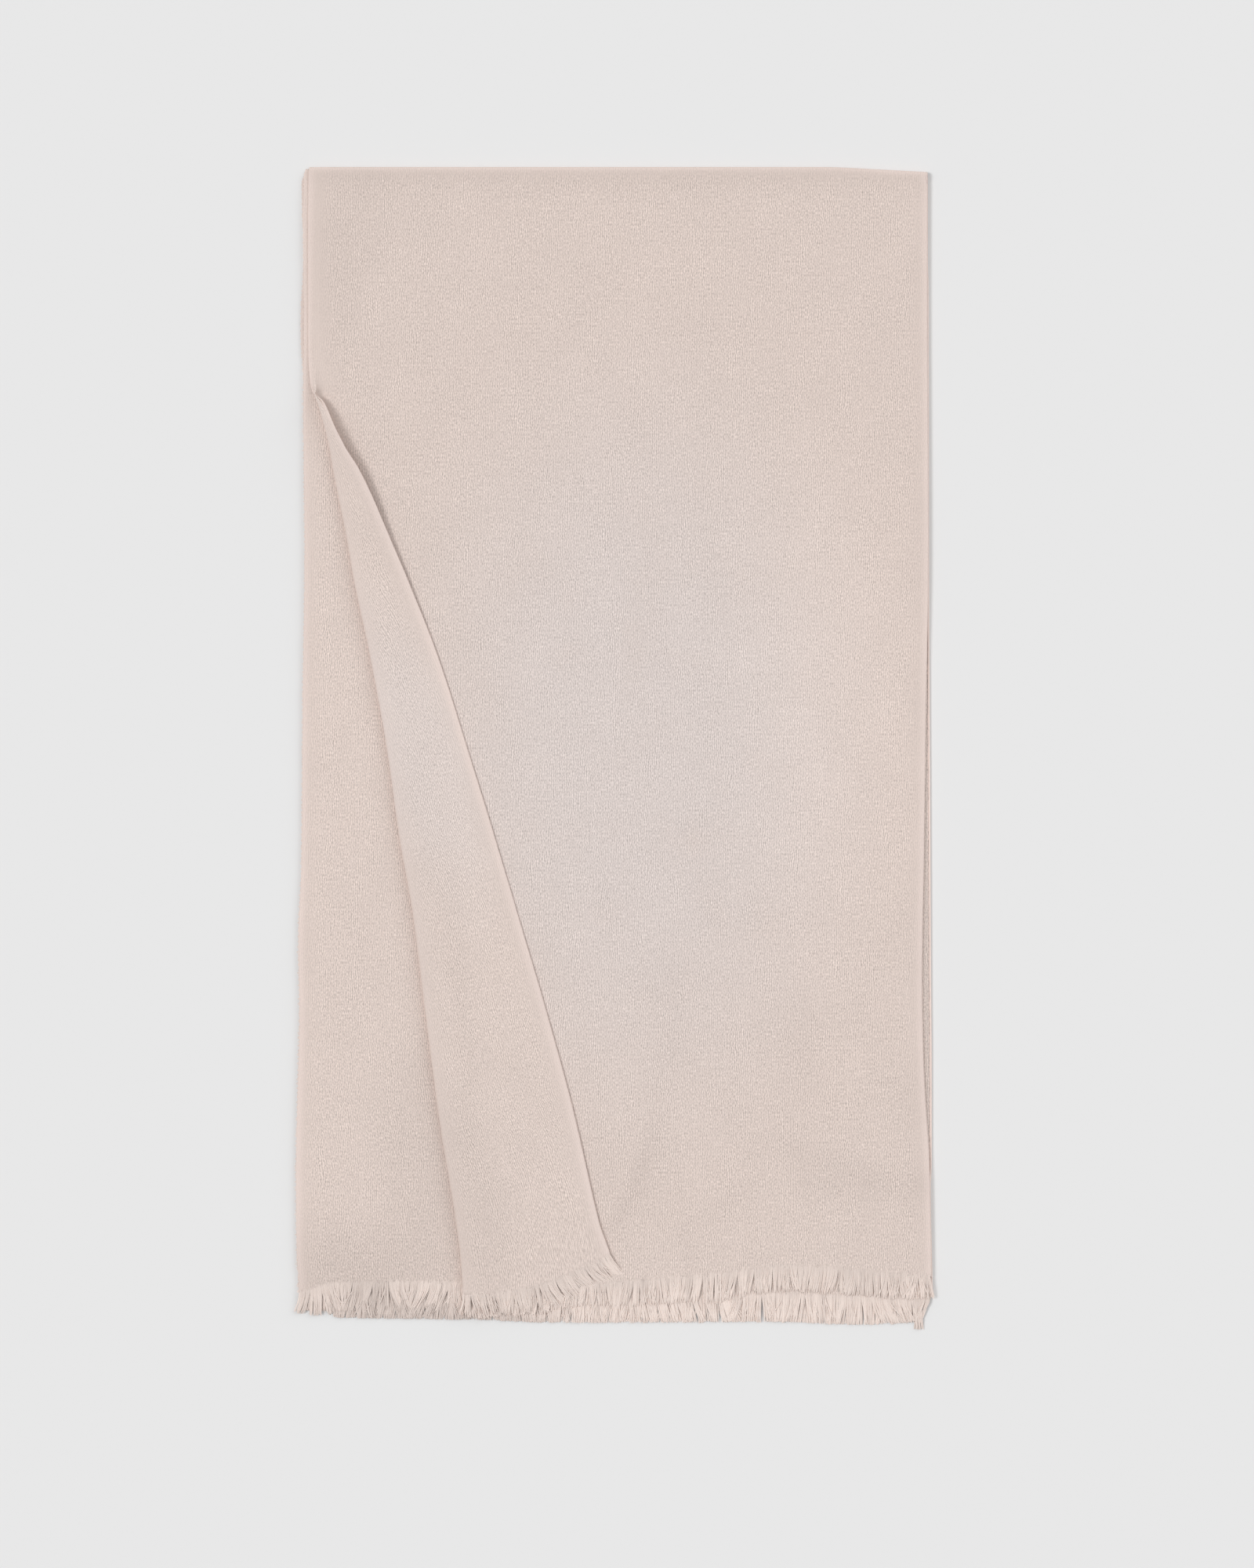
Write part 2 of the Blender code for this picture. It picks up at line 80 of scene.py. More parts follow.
# The outline, as in the solids
TOP_LINE = table(
    "x y",
    (-0.275, 0.5015),
    (0.180, 0.5015),
    (0.234, 0.4991),
    (0.272, 0.4971),
)
RIGHT_LINES = table(
    "y upper lower",
    (0.500, 0.2720, 0.2723),
    (0.420, 0.2718, 0.2723),
    (0.400, 0.2718, 0.2730),
    (0.170, 0.2727, 0.2733),
    (0.034, 0.2706, 0.2740),
    (-0.088, 0.2690, 0.2746),
    (-0.210, 0.2672, 0.2752),
    (-0.282, 0.2686, 0.2757),
    (-0.367, 0.2735, 0.2757),
    (-0.382, 0.2740, 0.2748),
    (-0.470, 0.2754, 0.2765),
)
LEFT_LINES = table(
    "y second third fourth",
    (0.4850, -0.2693, -0.2690, -0.2713),
    (0.4700, -0.2700, -0.2680, -0.2712),
    (0.4400, -0.2699, -0.2682, -0.2696),
    (0.4000, -0.2697, -0.2706, -0.2690),
    (0.3750, -0.2695, -0.2720, -0.2690),
    (0.3500, -0.2694, -0.2720, -0.2700),
    (0.3130, -0.2697, -0.2690, -0.2684),
    (0.2400, -0.2693, -0.2684, -0.2679),
    (0.1700, -0.2686, -0.2682, -0.2676),
    (0.0340, -0.2703, -0.2692, -0.2688),
    (-0.1020, -0.2713, -0.2705, -0.2698),
    (-0.1700, -0.2740, -0.2722, -0.2706),
    (-0.2380, -0.2730, -0.2722, -0.2726),
    (-0.3060, -0.2747, -0.2730, -0.2735),
    (-0.3740, -0.2760, -0.2745, -0.2735),
    (-0.4420, -0.2754, -0.2738, -0.2745),
    (-0.4620, -0.2738, -0.2728, -0.2734),
)
CORNER_YS = {"second": 0.4944, "third": 0.4925, "fourth": 0.4892}  # where the left edges start
PANEL_END = table(
    "x y",
    (-0.135, -0.4756),
    (-0.060, -0.4712),
    (0.000, -0.4668),
    (0.045, -0.4630),
    (0.096, -0.4590),
    (0.143, -0.4524),
    (0.175, -0.4529),
    (0.206, -0.4556),
    (0.237, -0.4583),
    (0.275, -0.4610),
)
SECOND_END = table(
    "x y",
    (-0.272, -0.4753),
    (-0.262, -0.4721),
    (-0.250, -0.4689),
    (-0.224, -0.4664),
    (-0.130, -0.4665),
    (-0.060, -0.4662),
    (0.045, -0.4600),
    (0.143, -0.4494),
    (0.206, -0.4526),
    (0.275, -0.4580),
)
LOWER_END = table(
    "x y",
    (-0.272, -0.4770),
    (-0.255, -0.4765),
    (-0.130, -0.4765),
    (-0.060, -0.4780),
    (0.045, -0.4775),
    (0.140, -0.4760),
    (0.206, -0.4785),
    (0.276, -0.4790),
)

# The turn-back, close to the solids'. It starts lower and wider, its free edge stands a little higher
# past the steep part and near the woven end, and the edge above its start lies a little further in.
TURN_BACK = table(
    "y fold_x bend turn width height",
    (0.5015, -0.2645, 0.0060, 0, 0.0040, 0.0000),
    (0.4937, -0.2652, 0.0060, 0, 0.0040, 0.0000),
    (0.4556, -0.2656, 0.0060, 0, 0.0040, 0.0000),
    (0.3638, -0.2656, 0.0060, 0, 0.0040, 0.0000),
    (0.3420, -0.2655, 0.0070, 1, 0.0045, 0.0001),
    (0.3142, -0.2642, 0.0095, 34, 0.0062, 0.0018),
    (0.2978, -0.2582, 0.0110, 114, 0.0104, 0.0082),
    (0.2788, -0.2525, 0.0112, 136, 0.0092, 0.0112),
    (0.2584, -0.2475, 0.0112, 155, 0.0120, 0.0118),
    (0.2380, -0.2441, 0.0112, 172, 0.0194, 0.0104),
    (0.2108, -0.2387, 0.0116, 180, 0.0263, 0.0080),
    (0.1802, -0.2326, 0.0116, 180, 0.0331, 0.0053),
    (0.1414, -0.2258, 0.0114, 180, 0.0428, 0.0036),
    (0.0775, -0.2122, 0.0112, 180, 0.0543, 0.0019),
    (-0.0054, -0.1972, 0.0110, 180, 0.0659, 0.0016),
    (-0.0782, -0.1870, 0.0110, 180, 0.0782, 0.0016),
    (-0.1442, -0.1754, 0.0110, 180, 0.0863, 0.0016),
    (-0.2244, -0.1652, 0.0110, 180, 0.0999, 0.0017),
    (-0.3284, -0.1516, 0.0108, 180, 0.1143, 0.0021),
    (-0.4114, -0.1380, 0.0104, 180, 0.1198, 0.0023),
    (-0.4427, -0.1340, 0.0102, 180, 0.1265, 0.0023),
    (-0.4638, -0.1322, 0.0100, 180, 0.1300, 0.0022),
)
TURN_BACK_END = table(
    "share y",
    (0.00, -0.4762),
    (0.22, -0.4751),
    (0.38, -0.4722),
    (0.53, -0.4672),
    (0.67, -0.4602),
    (0.84, -0.4515),
    (1.00, -0.4427),
)

# How each fringe's locks lean from straight down the cloth towards +X, their length, how light they are
# painted at their roots and tips, which is painted shade and light for the shade among and under the locks,
# and how uneven their lengths are, by the share of the way from the left
FRINGE_COLUMNS = "share lean length root tip uneven"
PANEL_FRINGE = table(
    FRINGE_COLUMNS,
    (0.00, 6, 0.0200, 0.0, 0.0, 1.0),
    (0.12, -4, 0.0205, 0.0, 0.0, 1.0),
    (0.25, 3, 0.0160, 0.2, 0.2, 1.0),
    (0.36, -6, 0.0190, 0.3, 0.3, 1.0),
    (0.38, -4, 0.0190, -1.8, 0.0, 1.0),
    (0.40, -2, 0.0195, 0.3, 0.3, 1.0),
    (0.55, 3, 0.0215, 0.2, 0.2, 1.0),
    (0.68, 10, 0.0195, 0.0, 0.0, 1.0),
    (0.78, -6, 0.0200, 0.0, -0.2, 1.0),
    (0.90, 12, 0.0195, -0.4, -0.6, 1.0),
    (0.96, 6, 0.0190, 0.0, 0.0, 1.0),
    (1.00, -8, 0.0175, 0.0, 0.0, 1.0),
)
TURNED_BACK_FRINGE = table(
    FRINGE_COLUMNS,
    (0.00, -2, 0.0160, 0.4, 0.0, 1.0),
    (0.15, 12, 0.0165, 0.4, 0.0, 1.0),
    (0.30, -4, 0.0160, 0.0, -0.8, 1.0),
    (0.40, 14, 0.0175, -0.1, -0.8, 1.0),
    (0.55, 24, 0.0185, -0.2, -0.8, 1.0),
    (0.70, 31, 0.0205, -0.3, -0.9, 1.2),
    (0.88, 33, 0.0215, -0.1, -0.6, 1.2),
    (1.00, 28, 0.0200, 0.8, 0.4, 1.0),
)
SECOND_FRINGE = table(
    FRINGE_COLUMNS,
    (0.00, -3, 0.0150, 0.0, -1.0, 1.0),
    (0.04, 7, 0.0225, 0.4, -1.6, 0.8),
    (0.07, -8, 0.0230, 0.2, -1.8, 0.8),
    (0.10, 2, 0.0235, -1.0, -2.6, 0.7),
    (0.13, -6, 0.0230, -0.8, -2.9, 0.7),
    (0.16, 11, 0.0225, 0.8, -1.2, 1.0),
    (0.20, -18, 0.0230, 1.0, -1.0, 1.4),
    (0.25, -8, 0.0225, 1.0, -1.4, 1.4),
    (1.00, 4, 0.0225, 0.4, -0.6, 1.0),
)
BACK_END_FRINGE = table(
    FRINGE_COLUMNS,
    (0.00, 6, 0.0120, -1.6, -1.6, 0.4),
    (0.045, 3, 0.0130, -1.8, -1.8, 0.4),
    (0.060, 0, 0.0185, -2.2, -2.5, 0.3),
    (0.15, -4, 0.0195, -2.5, -2.8, 0.3),
    (0.30, 4, 0.0205, -2.2, -2.5, 0.3),
    (0.42, -6, 0.0212, 0.4, -0.6, 0.4),
    (0.52, -8, 0.0216, 1.2, 0.2, 0.5),
    (0.62, 8, 0.0220, 1.0, 0.2, 0.5),
    (0.78, -6, 0.0226, 1.0, 0.2, 0.4),
    (0.92, 10, 0.0222, 0.8, 0.0, 0.5),
    (0.972, 4, 0.0205, 0.0, -0.6, 0.6),
    (0.978, 0, 0.0262, -0.6, -1.0, 0.2),
    (0.984, 0, 0.0262, -0.6, -1.0, 0.2),
    (0.989, -24, 0.0190, -0.6, -1.0, 0.3),
    (1.00, -42, 0.0170, -0.6, -1.0, 0.3),
)
WOVEN_ENDS = {  # the fringe, how the threads lean in the cloth at its two ends, the tips' height, and a seed
    "panel": (PANEL_FRINGE, (0.0, 0.0), 0.0030, 1),
    "flap": (TURNED_BACK_FRINGE, (0.0, 20.0), 0.0042, 2),
    "second": (SECOND_FRINGE, (0.0, 0.0), 0.0016, 3),
    "third": (BACK_END_FRINGE, (0.0, 0.0), 0.0010, 4),
    "fourth": (BACK_END_FRINGE, (0.0, 0.0), 0.0004, 5),
}

# Soft creases, placed one by one: a ridge from one end to the other, or a trough where its height is
# negative, its half width, and its painted shade and light: how much darker or lighter it is painted along
# the crease
CREASE_COLUMNS = "from_x from_y to_x to_y width height shade"
PANEL_CREASES = table(
    CREASE_COLUMNS,
    (0.042, -0.300, -0.016, -0.440, 0.0066, 0.0014, -0.040),
    (0.140, -0.378, 0.320, -0.390, 0.0150, 0.0012, -0.038),
    (0.100, -0.340, 0.250, -0.384, 0.0130, 0.0008, -0.030),
    (0.062, -0.417, 0.135, -0.376, 0.0070, 0.0006, -0.020),
    (0.057, -0.398, 0.062, -0.475, 0.0055, 0.0006, -0.034),
    (0.050, -0.160, 0.026, -0.340, 0.0160, 0.0004, -0.022),
    (0.150, -0.185, 0.160, -0.320, 0.0150, 0.0004, -0.012),
    (0.140, -0.290, 0.166, -0.395, 0.0130, 0.0004, -0.016),
    (0.246, -0.260, 0.252, -0.385, 0.0120, 0.0004, -0.014),
    (0.006, -0.250, -0.010, -0.355, 0.0140, 0.0004, 0.012),
    (0.230, 0.310, 0.130, 0.110, 0.0080, 0.0006, 0.008),
    (0.128, 0.210, 0.174, -0.030, 0.0090, 0.0007, 0.008),
    (0.176, 0.070, 0.154, -0.210, 0.0100, 0.0006, 0.007),
    (0.266, 0.260, 0.264, -0.120, 0.0300, 0.0008, 0.000),
    (0.030, 0.330, 0.150, 0.300, 0.0300, 0.0005, 0.000),
    (-0.170, 0.440, -0.050, 0.390, 0.0300, 0.0006, 0.000),
    (-0.250, 0.510, -0.246, 0.300, 0.0260, 0.0009, -0.026),
    (-0.080, 0.200, 0.030, 0.090, 0.0280, 0.0005, 0.000),
    (0.020, -0.030, 0.100, -0.150, 0.0260, 0.0005, 0.000),
)
FLAP_CREASES = table(
    CREASE_COLUMNS,
    (-0.152, -0.100, -0.126, -0.430, 0.0070, -0.0003, -0.020),
    (-0.130, -0.265, -0.066, -0.298, 0.0100, 0.0005, -0.014),
    (-0.110, -0.338, -0.046, -0.352, 0.0110, 0.0006, -0.016),
    (-0.142, 0.010, -0.100, -0.190, 0.0100, 0.0005, 0.000),
    (-0.078, -0.310, -0.058, -0.430, 0.0090, 0.0006, 0.000),
)
SECOND_CREASES = table(
    CREASE_COLUMNS,
    (-0.262, 0.180, -0.256, -0.150, 0.0060, 0.0004, 0.000),
    (-0.245, -0.060, -0.225, -0.260, 0.0120, 0.0005, -0.012),
    (-0.258, -0.330, -0.235, -0.470, 0.0200, 0.0012, 0.000),
)
BESIDE_FOLD = table(  # layer 2 comes down towards the turn-back's fold
    "past height",
    (0.000, 0.0000),
    (0.004, 0.0001),
    (0.009, 0.0005),
    (0.014, 0.0009),
    (0.020, 0.0011),
    (0.034, 0.0008),
    (0.060, 0.0000),
)
BESIDE_FROM, BESIDE_FULL, BESIDE_EDGE = 0.285, 0.250, 0.012  # from here down, and in from the selvedge
CREASE_BOW = 0.04  # a crease bows aside by this share of its length
CREASE_ENDS = 1 / 3  # and dies away over this share of it at each end
FLAP_RISE_STEPS = 4  # the flap's own creases rise over this many steps of its grid
WAVE_SIZES = (0.140, 0.095, 0.070, 0.048, 0.036)
WAVE_HEIGHT = 0.00035
WAVE_BEND = 0.6  # how far a wave's crests bend aside, in radians of the wave
TOP_WAVES, SECOND_WAVES = 5, 8  # seeds
ROLL_HEIGHT, ROLL_WIDTH, ROLL_INSET = 0.0009, 0.0085, 0.0035  # the crosswise fold stands up a little
SETTLED_EDGE = 0.020  # creases and waves die away this near the folds
PRESSED, PRESS_REACH = 0.30, 0.026  # the layers lie closer together by this share at the selvedges
EDGE_REACH = 0.008  # the cloth is painted lighter this near its edges and folds, a painted highlight on their rounded rims
SMOOTH_REACH = 0.020  # and its weave shows less this near them

# Grids: steps round each fold and across each layer
LENGTH_STEPS = 8
PANEL_STEPS = 108
BEND_STEPS = 16
FLAP_STEPS = 30
CROSS_STEPS = 14
INNER_FOLD_STEPS = 6
HIDDEN_STEPS, SHOWN_STEPS = 14, 40  # of layers 2 and 3, up to SHOWING and past it
BOTTOM_STEPS = 60

# Steps down layer 1, as (from y, to y, steps), and down the others, finer at both ends
DOWN_STEPS = (
    (FIRST_Y, FIRST_Y - OPENED, 3),
    (FIRST_Y - OPENED, FIRST_Y - FOLDED, 9),
    (FIRST_Y - FOLDED, 0.360, 32),
    (0.360, 0.170, 60),
    (0.170, -0.430, 130),
    (-0.430, LAST_Y, 14),
)
INNER_DOWN_STEPS, BOTTOM_DOWN_STEPS = 210, 110
FINE_BEFORE, FINE_AFTER = 0.014, 0.970  # shares of the way down
FINE_STEPS = (10, 9)
SHOWING = 0.70  # layer 2 shows past this share of the way across it
CLOSER_AT_ENDS = 0.6  # how much closer together steps stand at both ends of a stretch
GRID_ROUNDS = 3  # enough for places that depend on each other a little to agree

# Strands of the fringes
STRANDS_A_THREAD = 2.1
PLACE_JITTER = 0.3  # each stands off its even place by up to this share of a thread
STRAND_HALF_WIDTHS = (0.00032, 0.00058)
# tone: painted shade at the roots, where the strands come out under the cloth, and painted light towards the
# tips
STRAND = table(
    "share taper tone",
    (0.00, 0.20, -1.6),
    (0.12, 0.90, -1.2),
    (0.34, 1.00, -0.2),
    (0.58, 1.00, 0.5),
    (0.80, 0.90, 1.0),
    (1.00, 0.55, 1.0),
)
SECTION = table("side up", (1.0, 0.0), (0.0, 0.45), (-1.0, 0.0), (0.0, -0.45))  # in half widths
ROOT_INSETS = (0.0004, 0.0034)  # they rise out of the cloth this far inside its woven end
STRIP_WIDTH = 0.0023  # lengths count from this far outside it, where the solids' locks start
FLAP_FRINGE_STEPS = 2  # the flap's fringe starts this many steps round the bend
LEAN_PACE = 1.3  # a strand has its whole lean at 1 / this of its length
RISE_PACE = 3  # and is out of the cloth and at its lock's full thickness at 1 / this
DROOP = 1.5  # it comes down to its tip's height with this power of the share of its length
LOCK_WIDTHS = (0.0022, 0.0070)
LOCK_GATHERS = (0.05, 0.34)  # how much of their width the locks lose towards the tips
LOCK_LENGTHS = (-0.06, 0.04)  # shorter or longer by this share, as are the strands
LOCK_LEAN = 10.0  # either way
GROUP_WIDTH, GROUP_LEAN = 0.013, 18.0  # neighbouring locks lean together, either way
LOCK_HUMP = 0.0008
LOCK_THICKNESS = 0.0006
STRAY_SHARE, STRAY_LEAN, STRAY_RISE = 0.12, 13.0, 0.0006  # a few strands lie across the others
STRAND_LENGTHS = (-0.08, 0.05)
STRAND_LEAN = 2.5  # the usual spread
STRAND_SWAY = 0.00022
LOWEST = 0.0004  # for a strand's middle

# Loops of weft along the selvedges: how far they stand out, down the cloth
LOOPS = table(
    "y reach",
    (0.490, 0.0005),
    (0.340, 0.0005),
    (0.310, 0.0014),
    (0.270, 0.0013),
    (0.220, 0.0007),
    (-0.100, 0.0009),
    (-0.180, 0.0015),
    (-0.450, 0.0017),
)
LOOP_PITCHES = (0.0016, 0.0052)
LOOP_SHARES = (0.1, 1.0)  # of that reach
LOOP_HALF_LENGTHS = (0.0003, 0.0011)
LOOP_RADIUS = 0.00030
LOOP_ANGLES = np.radians([-90, -45, 0, 45, 90])
LOOP_TONES = 0.5  # the usual spread
LOOP_SEED = 20  # of the first selvedge, and then one more for each

# Colours, linear
CLOTH_COLOUR = (0.703, 0.595, 0.543)
COOL_COLOUR = (0.692, 0.624, 0.601)
# painted highlight: lighter along the edges and folds, where their rounded rims catch the light
EDGE_HIGHLIGHT_COLOUR = (0.786, 0.661, 0.608)
FRINGE_COLOUR = (0.818, 0.706, 0.648)
TONE_SHADE = 0.062  # how much lighter a strand is for each step of tone
FLOOR_COLOUR = (0.806, 0.806, 0.806)
CLOTH_SURFACE = {
    "Roughness": 0.92,
    "Specular IOR Level": 0.25,
    "Sheen Weight": 0.18,
    "Sheen Roughness": 0.45,
}
STRAND_SURFACE = {
    "Roughness": 0.90,
    "Specular IOR Level": 0.15,
    "Sheen Weight": 0.05,
    "Sheen Roughness": 0.40,
}

# Weave: its sizes are across x and along y
REED_SHADE = 0.15  # threads lie in pairs, with a darker line between two pairs
THREAD_SHADE = 0.20  # the cloth is darker between its threads
THREAD_MEAN = 0.64  # between its threads and on them, 0 to 1
CROSSING_SHADE = 0.04
YARNS = (  # uneven yarn: (shade, the size of its streaks)
    (0.04, (0.0120, 0.0012)),
    (0.02, (0.0011, 0.0600)),
    (0.13, (0.0010, 0.0080)),
    (0.47, (0.0009, 0.0020)),
)
SLUBS = (  # a few thicker yarns: (shade, size)
    (0.03, (0.0012, 0.0500)),
    (-0.02, (0.0600, 0.0012)),
)
SLUB_RAMP = (0.66, 0.74)  # only the highest noise makes one
PATCH_SHADE, PATCH_SIZE = 0.05, (0.045, 0.055)
FELT_SHARES, FELT_SIZE = (0.90, 1.10), (0.030, 0.040)  # the weave shows less where the nap lies closer
FELT_NOISE = (0.3, 0.7)  # the noise that gives those shares
SMOOTHNESS = 0.80  # how much of the weave is lost beside an edge or a fold
REVERSE_SHADE = 0.015  # the reverse is a little lighter
LOWER_FOLD_PAINTED_LIGHT = 0.160  # painted light: the lower of the lengthwise folds is painted lighter, against the shade that falls on it beside the layers above
TINT_SIZE, TINT_RAMP = (0.050, 0.060), (-0.80, 0.60)  # the cool spots' unevenness
SPOT_RAMP = (1.0, 0.2)  # cool spots and spots of painted shade and light are gone at their reach, and full within this share of it

# Painted shade and light, and cool spots, at places in the unfolded cloth, where layer 2 lies past the
# right-hand fold
PAINTED_LIGHT_AND_SHADE_SPOTS = (  # painted shade and light, where it is painted a little darker or lighter as shade and light fall on it: x, y, reach across and along, shade
    (-0.245, 0.470, 0.110, 0.110, -0.022),
    (0.000, 0.505, 0.700, 0.040, -0.042),
    (0.190, 0.034, 0.115, 0.300, 0.042),
    (0.786, -0.475, 0.120, 0.085, -0.100),
    (0.710, -0.370, 0.060, 0.170, -0.060),
    (-0.010, -0.385, 0.120, 0.080, -0.016),
    (0.773, 0.000, 0.060, 0.220, 0.015),
    (-0.235, 0.000, 0.060, 0.260, 0.024),
    (-0.158, -0.410, 0.045, 0.170, -0.050),
)
COOL_SPOTS = (  # where it looks cooler: x, y, reach across and along, share
    (0.016, 0.000, 0.260, 0.420, 0.68),
    (-0.232, -0.020, 0.060, 0.200, 0.45),
)
WANDER, WANDER_SIZE = 2.0, (0.004, 0.004)  # threads wander by this many threads
DRIFT, DRIFT_SIZE = 9.0, (0.022, 0.050)  # and drift by this many over longer ways
WEAVE_HEIGHT, BUMP_STRENGTH = 0.00009, 0.6
YARN_RELIEF = 0.8  # the finest yarn's share in that height, beside the threads'

# Studio
FRAME_HEIGHT = 1.360
CAMERA_X, CAMERA_Y, CAMERA_HEIGHT = 0.0109, -0.0340, 4.0
SENSOR = 0.036
SKY_SHARE = 0.47  # of the light on the floor
LAMPS = (  # (share, tilt from overhead, heading anticlockwise from +X, how wide it looks)
    (0.31, 39, 175, 20),
    (0.12, 61, 40, 46),
    (0.10, 8, 160, 50),
)
FLOOR_REACH = 12.0


def curve(points, column, place):
    """A column's value at places in the first column, on a smooth curve that never overshoots."""
    first = next(iter(points.values()))
    order = np.argsort(first)
    known, values = first[order], points[column][order]
    place = np.clip(place, known[0], known[-1])
    steps = np.diff(known)
    slopes = np.diff(values) / steps
    before, after = slopes[:-1], slopes[1:]
    turning = before * after <= 0
    harmonic = 2 * before * after / np.where(turning, 1, before + after)
    tangents = np.concatenate([slopes[:1], np.where(turning, 0, harmonic), slopes[-1:]])
    index = np.clip(np.searchsorted(known, place) - 1, 0, len(steps) - 1)
    step = steps[index]
    t = (place - known[index]) / step
    return (
        values[index] * (1 + 2 * t) * (1 - t) ** 2
        + values[index + 1] * t**2 * (3 - 2 * t)
        + step * t * (1 - t) * (tangents[index] * (1 - t) - tangents[index + 1] * t)
    )


def ease(t):
    """0 to 1, level at both ends."""
    t = np.clip(t, 0.0, 1.0)
    return t * t * (3 - 2 * t)


def arc(length, turn, share):
    """(forward, up) of the point at a share of an arc of this length that turns through turn."""
    turn = np.maximum(turn, STRAIGHT)
    radius = length / turn
    return radius * np.sin(turn * share), radius * (1 - np.cos(turn * share))


def unit(vectors):
    return vectors / np.linalg.norm(vectors, axis=-1, keepdims=True)


def spread(steps):
    """0 to 1 in this many steps, closer together at the two ends."""
    even = np.linspace(0.0, 1.0, steps + 1)
    return even - CLOSER_AT_ENDS * np.sin(2 * math.pi * even) / (2 * math.pi)


def stretches(*parts):
    """Places along (from, to, steps) stretches that follow each other, with the last one's end."""
    places = [np.linspace(start, end, steps, endpoint=False) for start, end, steps in parts]
    return np.concatenate(places + [[parts[-1][1]]])


def path_lengths(grid, axis):
    """The length of the way along a grid's lines to each of its points."""
    steps = np.linalg.norm(np.diff(grid, axis=axis), axis=-1)
    return np.insert(np.cumsum(steps, axis=axis), 0, 0.0, axis=axis)


def near(reach, *distances):
    """1 at an edge or a fold, and 0 past its reach, for the nearest of several."""
    return 1 - ease(np.minimum.reduce(np.broadcast_arrays(*np.abs(distances))) / reach)


# The forms of the folds, as in the solids


def top_axis(x):
    """The y of the crosswise fold's axis."""
    return curve(TOP_LINE, "y", x) - CROSS_RADIUS - WALL / 2


def length_fold(y, side):
    """A lengthwise fold at y: the x where the panel starts, and (x, drop) from its far end round to there."""
    turn = math.pi * ease((FIRST_Y - OPENED - y) / (FOLDED - OPENED))
    length = math.pi * LENGTH_RADIUS
    reach = arc(length, turn, np.minimum(1.0, math.pi / 2 / np.maximum(turn, STRAIGHT)))[0]
    start = curve(RIGHT_LINES, side, y) - WALL / 2 - reach
    right, down = arc(length, turn, np.arange(LENGTH_STEPS, 0, -1) / LENGTH_STEPS)
    return start, start + right, down


def turn_back(y, share):
    """(x, z) past the panel: share runs from 0 to 1 round the bend, and to 2 across the flap."""
    fold_x, bend, turn, width, height = (
        curve(TURN_BACK, column, y) for column in ("fold_x", "bend", "turn", "width", "height")
    )
    turn = np.radians(turn)
    upright = math.pi / 2
    reach = arc(bend, turn, np.minimum(1.0, upright / np.maximum(turn, STRAIGHT)))[0]
    reach = reach + np.where(turn > upright, 0.0, width * np.cos(turn))
    tangent_x = fold_x + WALL / 2 * np.sin(np.minimum(turn, upright)) + reach
    left, up = arc(bend, turn, np.minimum(share, 1.0))
    past = np.maximum(0.0, share - 1) * width
    unsettled = arc(bend, turn, 1.0)[1] + width * np.sin(turn)
    settled = (unsettled - height) * ease(past / np.minimum(width, SETTLE))
    return tangent_x - left - past * np.cos(turn), up + past * np.sin(turn) - settled


def turned_end(share):
    """The y of the turned-back cloth's woven end."""
    start = curve(PANEL_END, "y", PANEL_END["x"][0])
    past_bend = curve(TURN_BACK_END, "y", np.maximum(0.0, share - 1))
    return start + (past_bend - start) * np.minimum(share, 1.0)


# Creases


def creases(points, column, x, y):
    """The height or shade of a table's creases at x, y: each dies away to its sides and to its ends."""
    total = np.zeros(x.shape)
    columns = (points[name] for name in ("from_x", "from_y", "to_x", "to_y", "width", column))
    for from_x, from_y, to_x, to_y, width, top in zip(*columns):
        run = math.hypot(to_x - from_x, to_y - from_y)
        way_x, way_y = (to_x - from_x) / run, (to_y - from_y) / run
        share = ((x - from_x) * way_x + (y - from_y) * way_y) / run
        bow = CREASE_BOW * run * np.sin(math.pi * np.clip(share, 0, 1))
        away = (x - from_x) * way_y - (y - from_y) * way_x + bow
        ends = ease(share / CREASE_ENDS) * ease((1 - share) / CREASE_ENDS)
        total += top * np.exp(-((away / width) ** 2)) * ends
    return total


def waves(x, y, seed):
    """The gentle unevenness of cloth that was smoothed by hand, up from 0."""
    chance = np.random.default_rng(seed)
    height = np.zeros(x.shape)
    for size in WAVE_SIZES:
        angle, phase, bend_phase = chance.uniform(0, 2 * math.pi, 3)
        across = x * math.cos(angle) + y * math.sin(angle)
        along = y * math.cos(angle) - x * math.sin(angle)
        bend = WAVE_BEND * np.sin(2 * math.pi * along / size + bend_phase)
        height += 1 + np.sin(2 * math.pi * across / size + bend + phase)
    return WAVE_HEIGHT * height / len(WAVE_SIZES)


def settled_edges(x, y):
    """1 over the cloth, dying away to 0 at its folds."""
    from_right = curve(RIGHT_LINES, "upper", y) - x
    from_top = curve(TOP_LINE, "y", x) - y
    return ease(from_right / SETTLED_EDGE) * ease(from_top / SETTLED_EDGE)


def swell(x, y):
    """How far layer 1 stands above its level place, which the layers under it share in."""
    return (waves(x, y, TOP_WAVES) + creases(PANEL_CREASES, "height", x, y)) * settled_edges(x, y)


def press(middle):
    """Brings a grid's points closer to the lowest layer near the selvedges."""
    x, y, z = np.moveaxis(middle, -1, 0)
    from_selvedge = x - curve(LEFT_LINES, "second", y)
    over_lowest = np.clip(z, FOURTH_MIDDLE, TOP_MIDDLE) - FOURTH_MIDDLE
    middle[..., 2] -= PRESSED * near(PRESS_REACH, from_selvedge) * over_lowest


def beside_fold(x, y):
    """How far layer 2 stands up to the left of the turn-back's fold."""
    height = curve(BESIDE_FOLD, "height", curve(TURN_BACK, "fold_x", y) - x)
    from_selvedge = x - curve(LEFT_LINES, "second", y)
    return height * ease((BESIDE_FROM - y) / (BESIDE_FROM - BESIDE_FULL)) * ease(from_selvedge / BESIDE_EDGE)


# Meshes


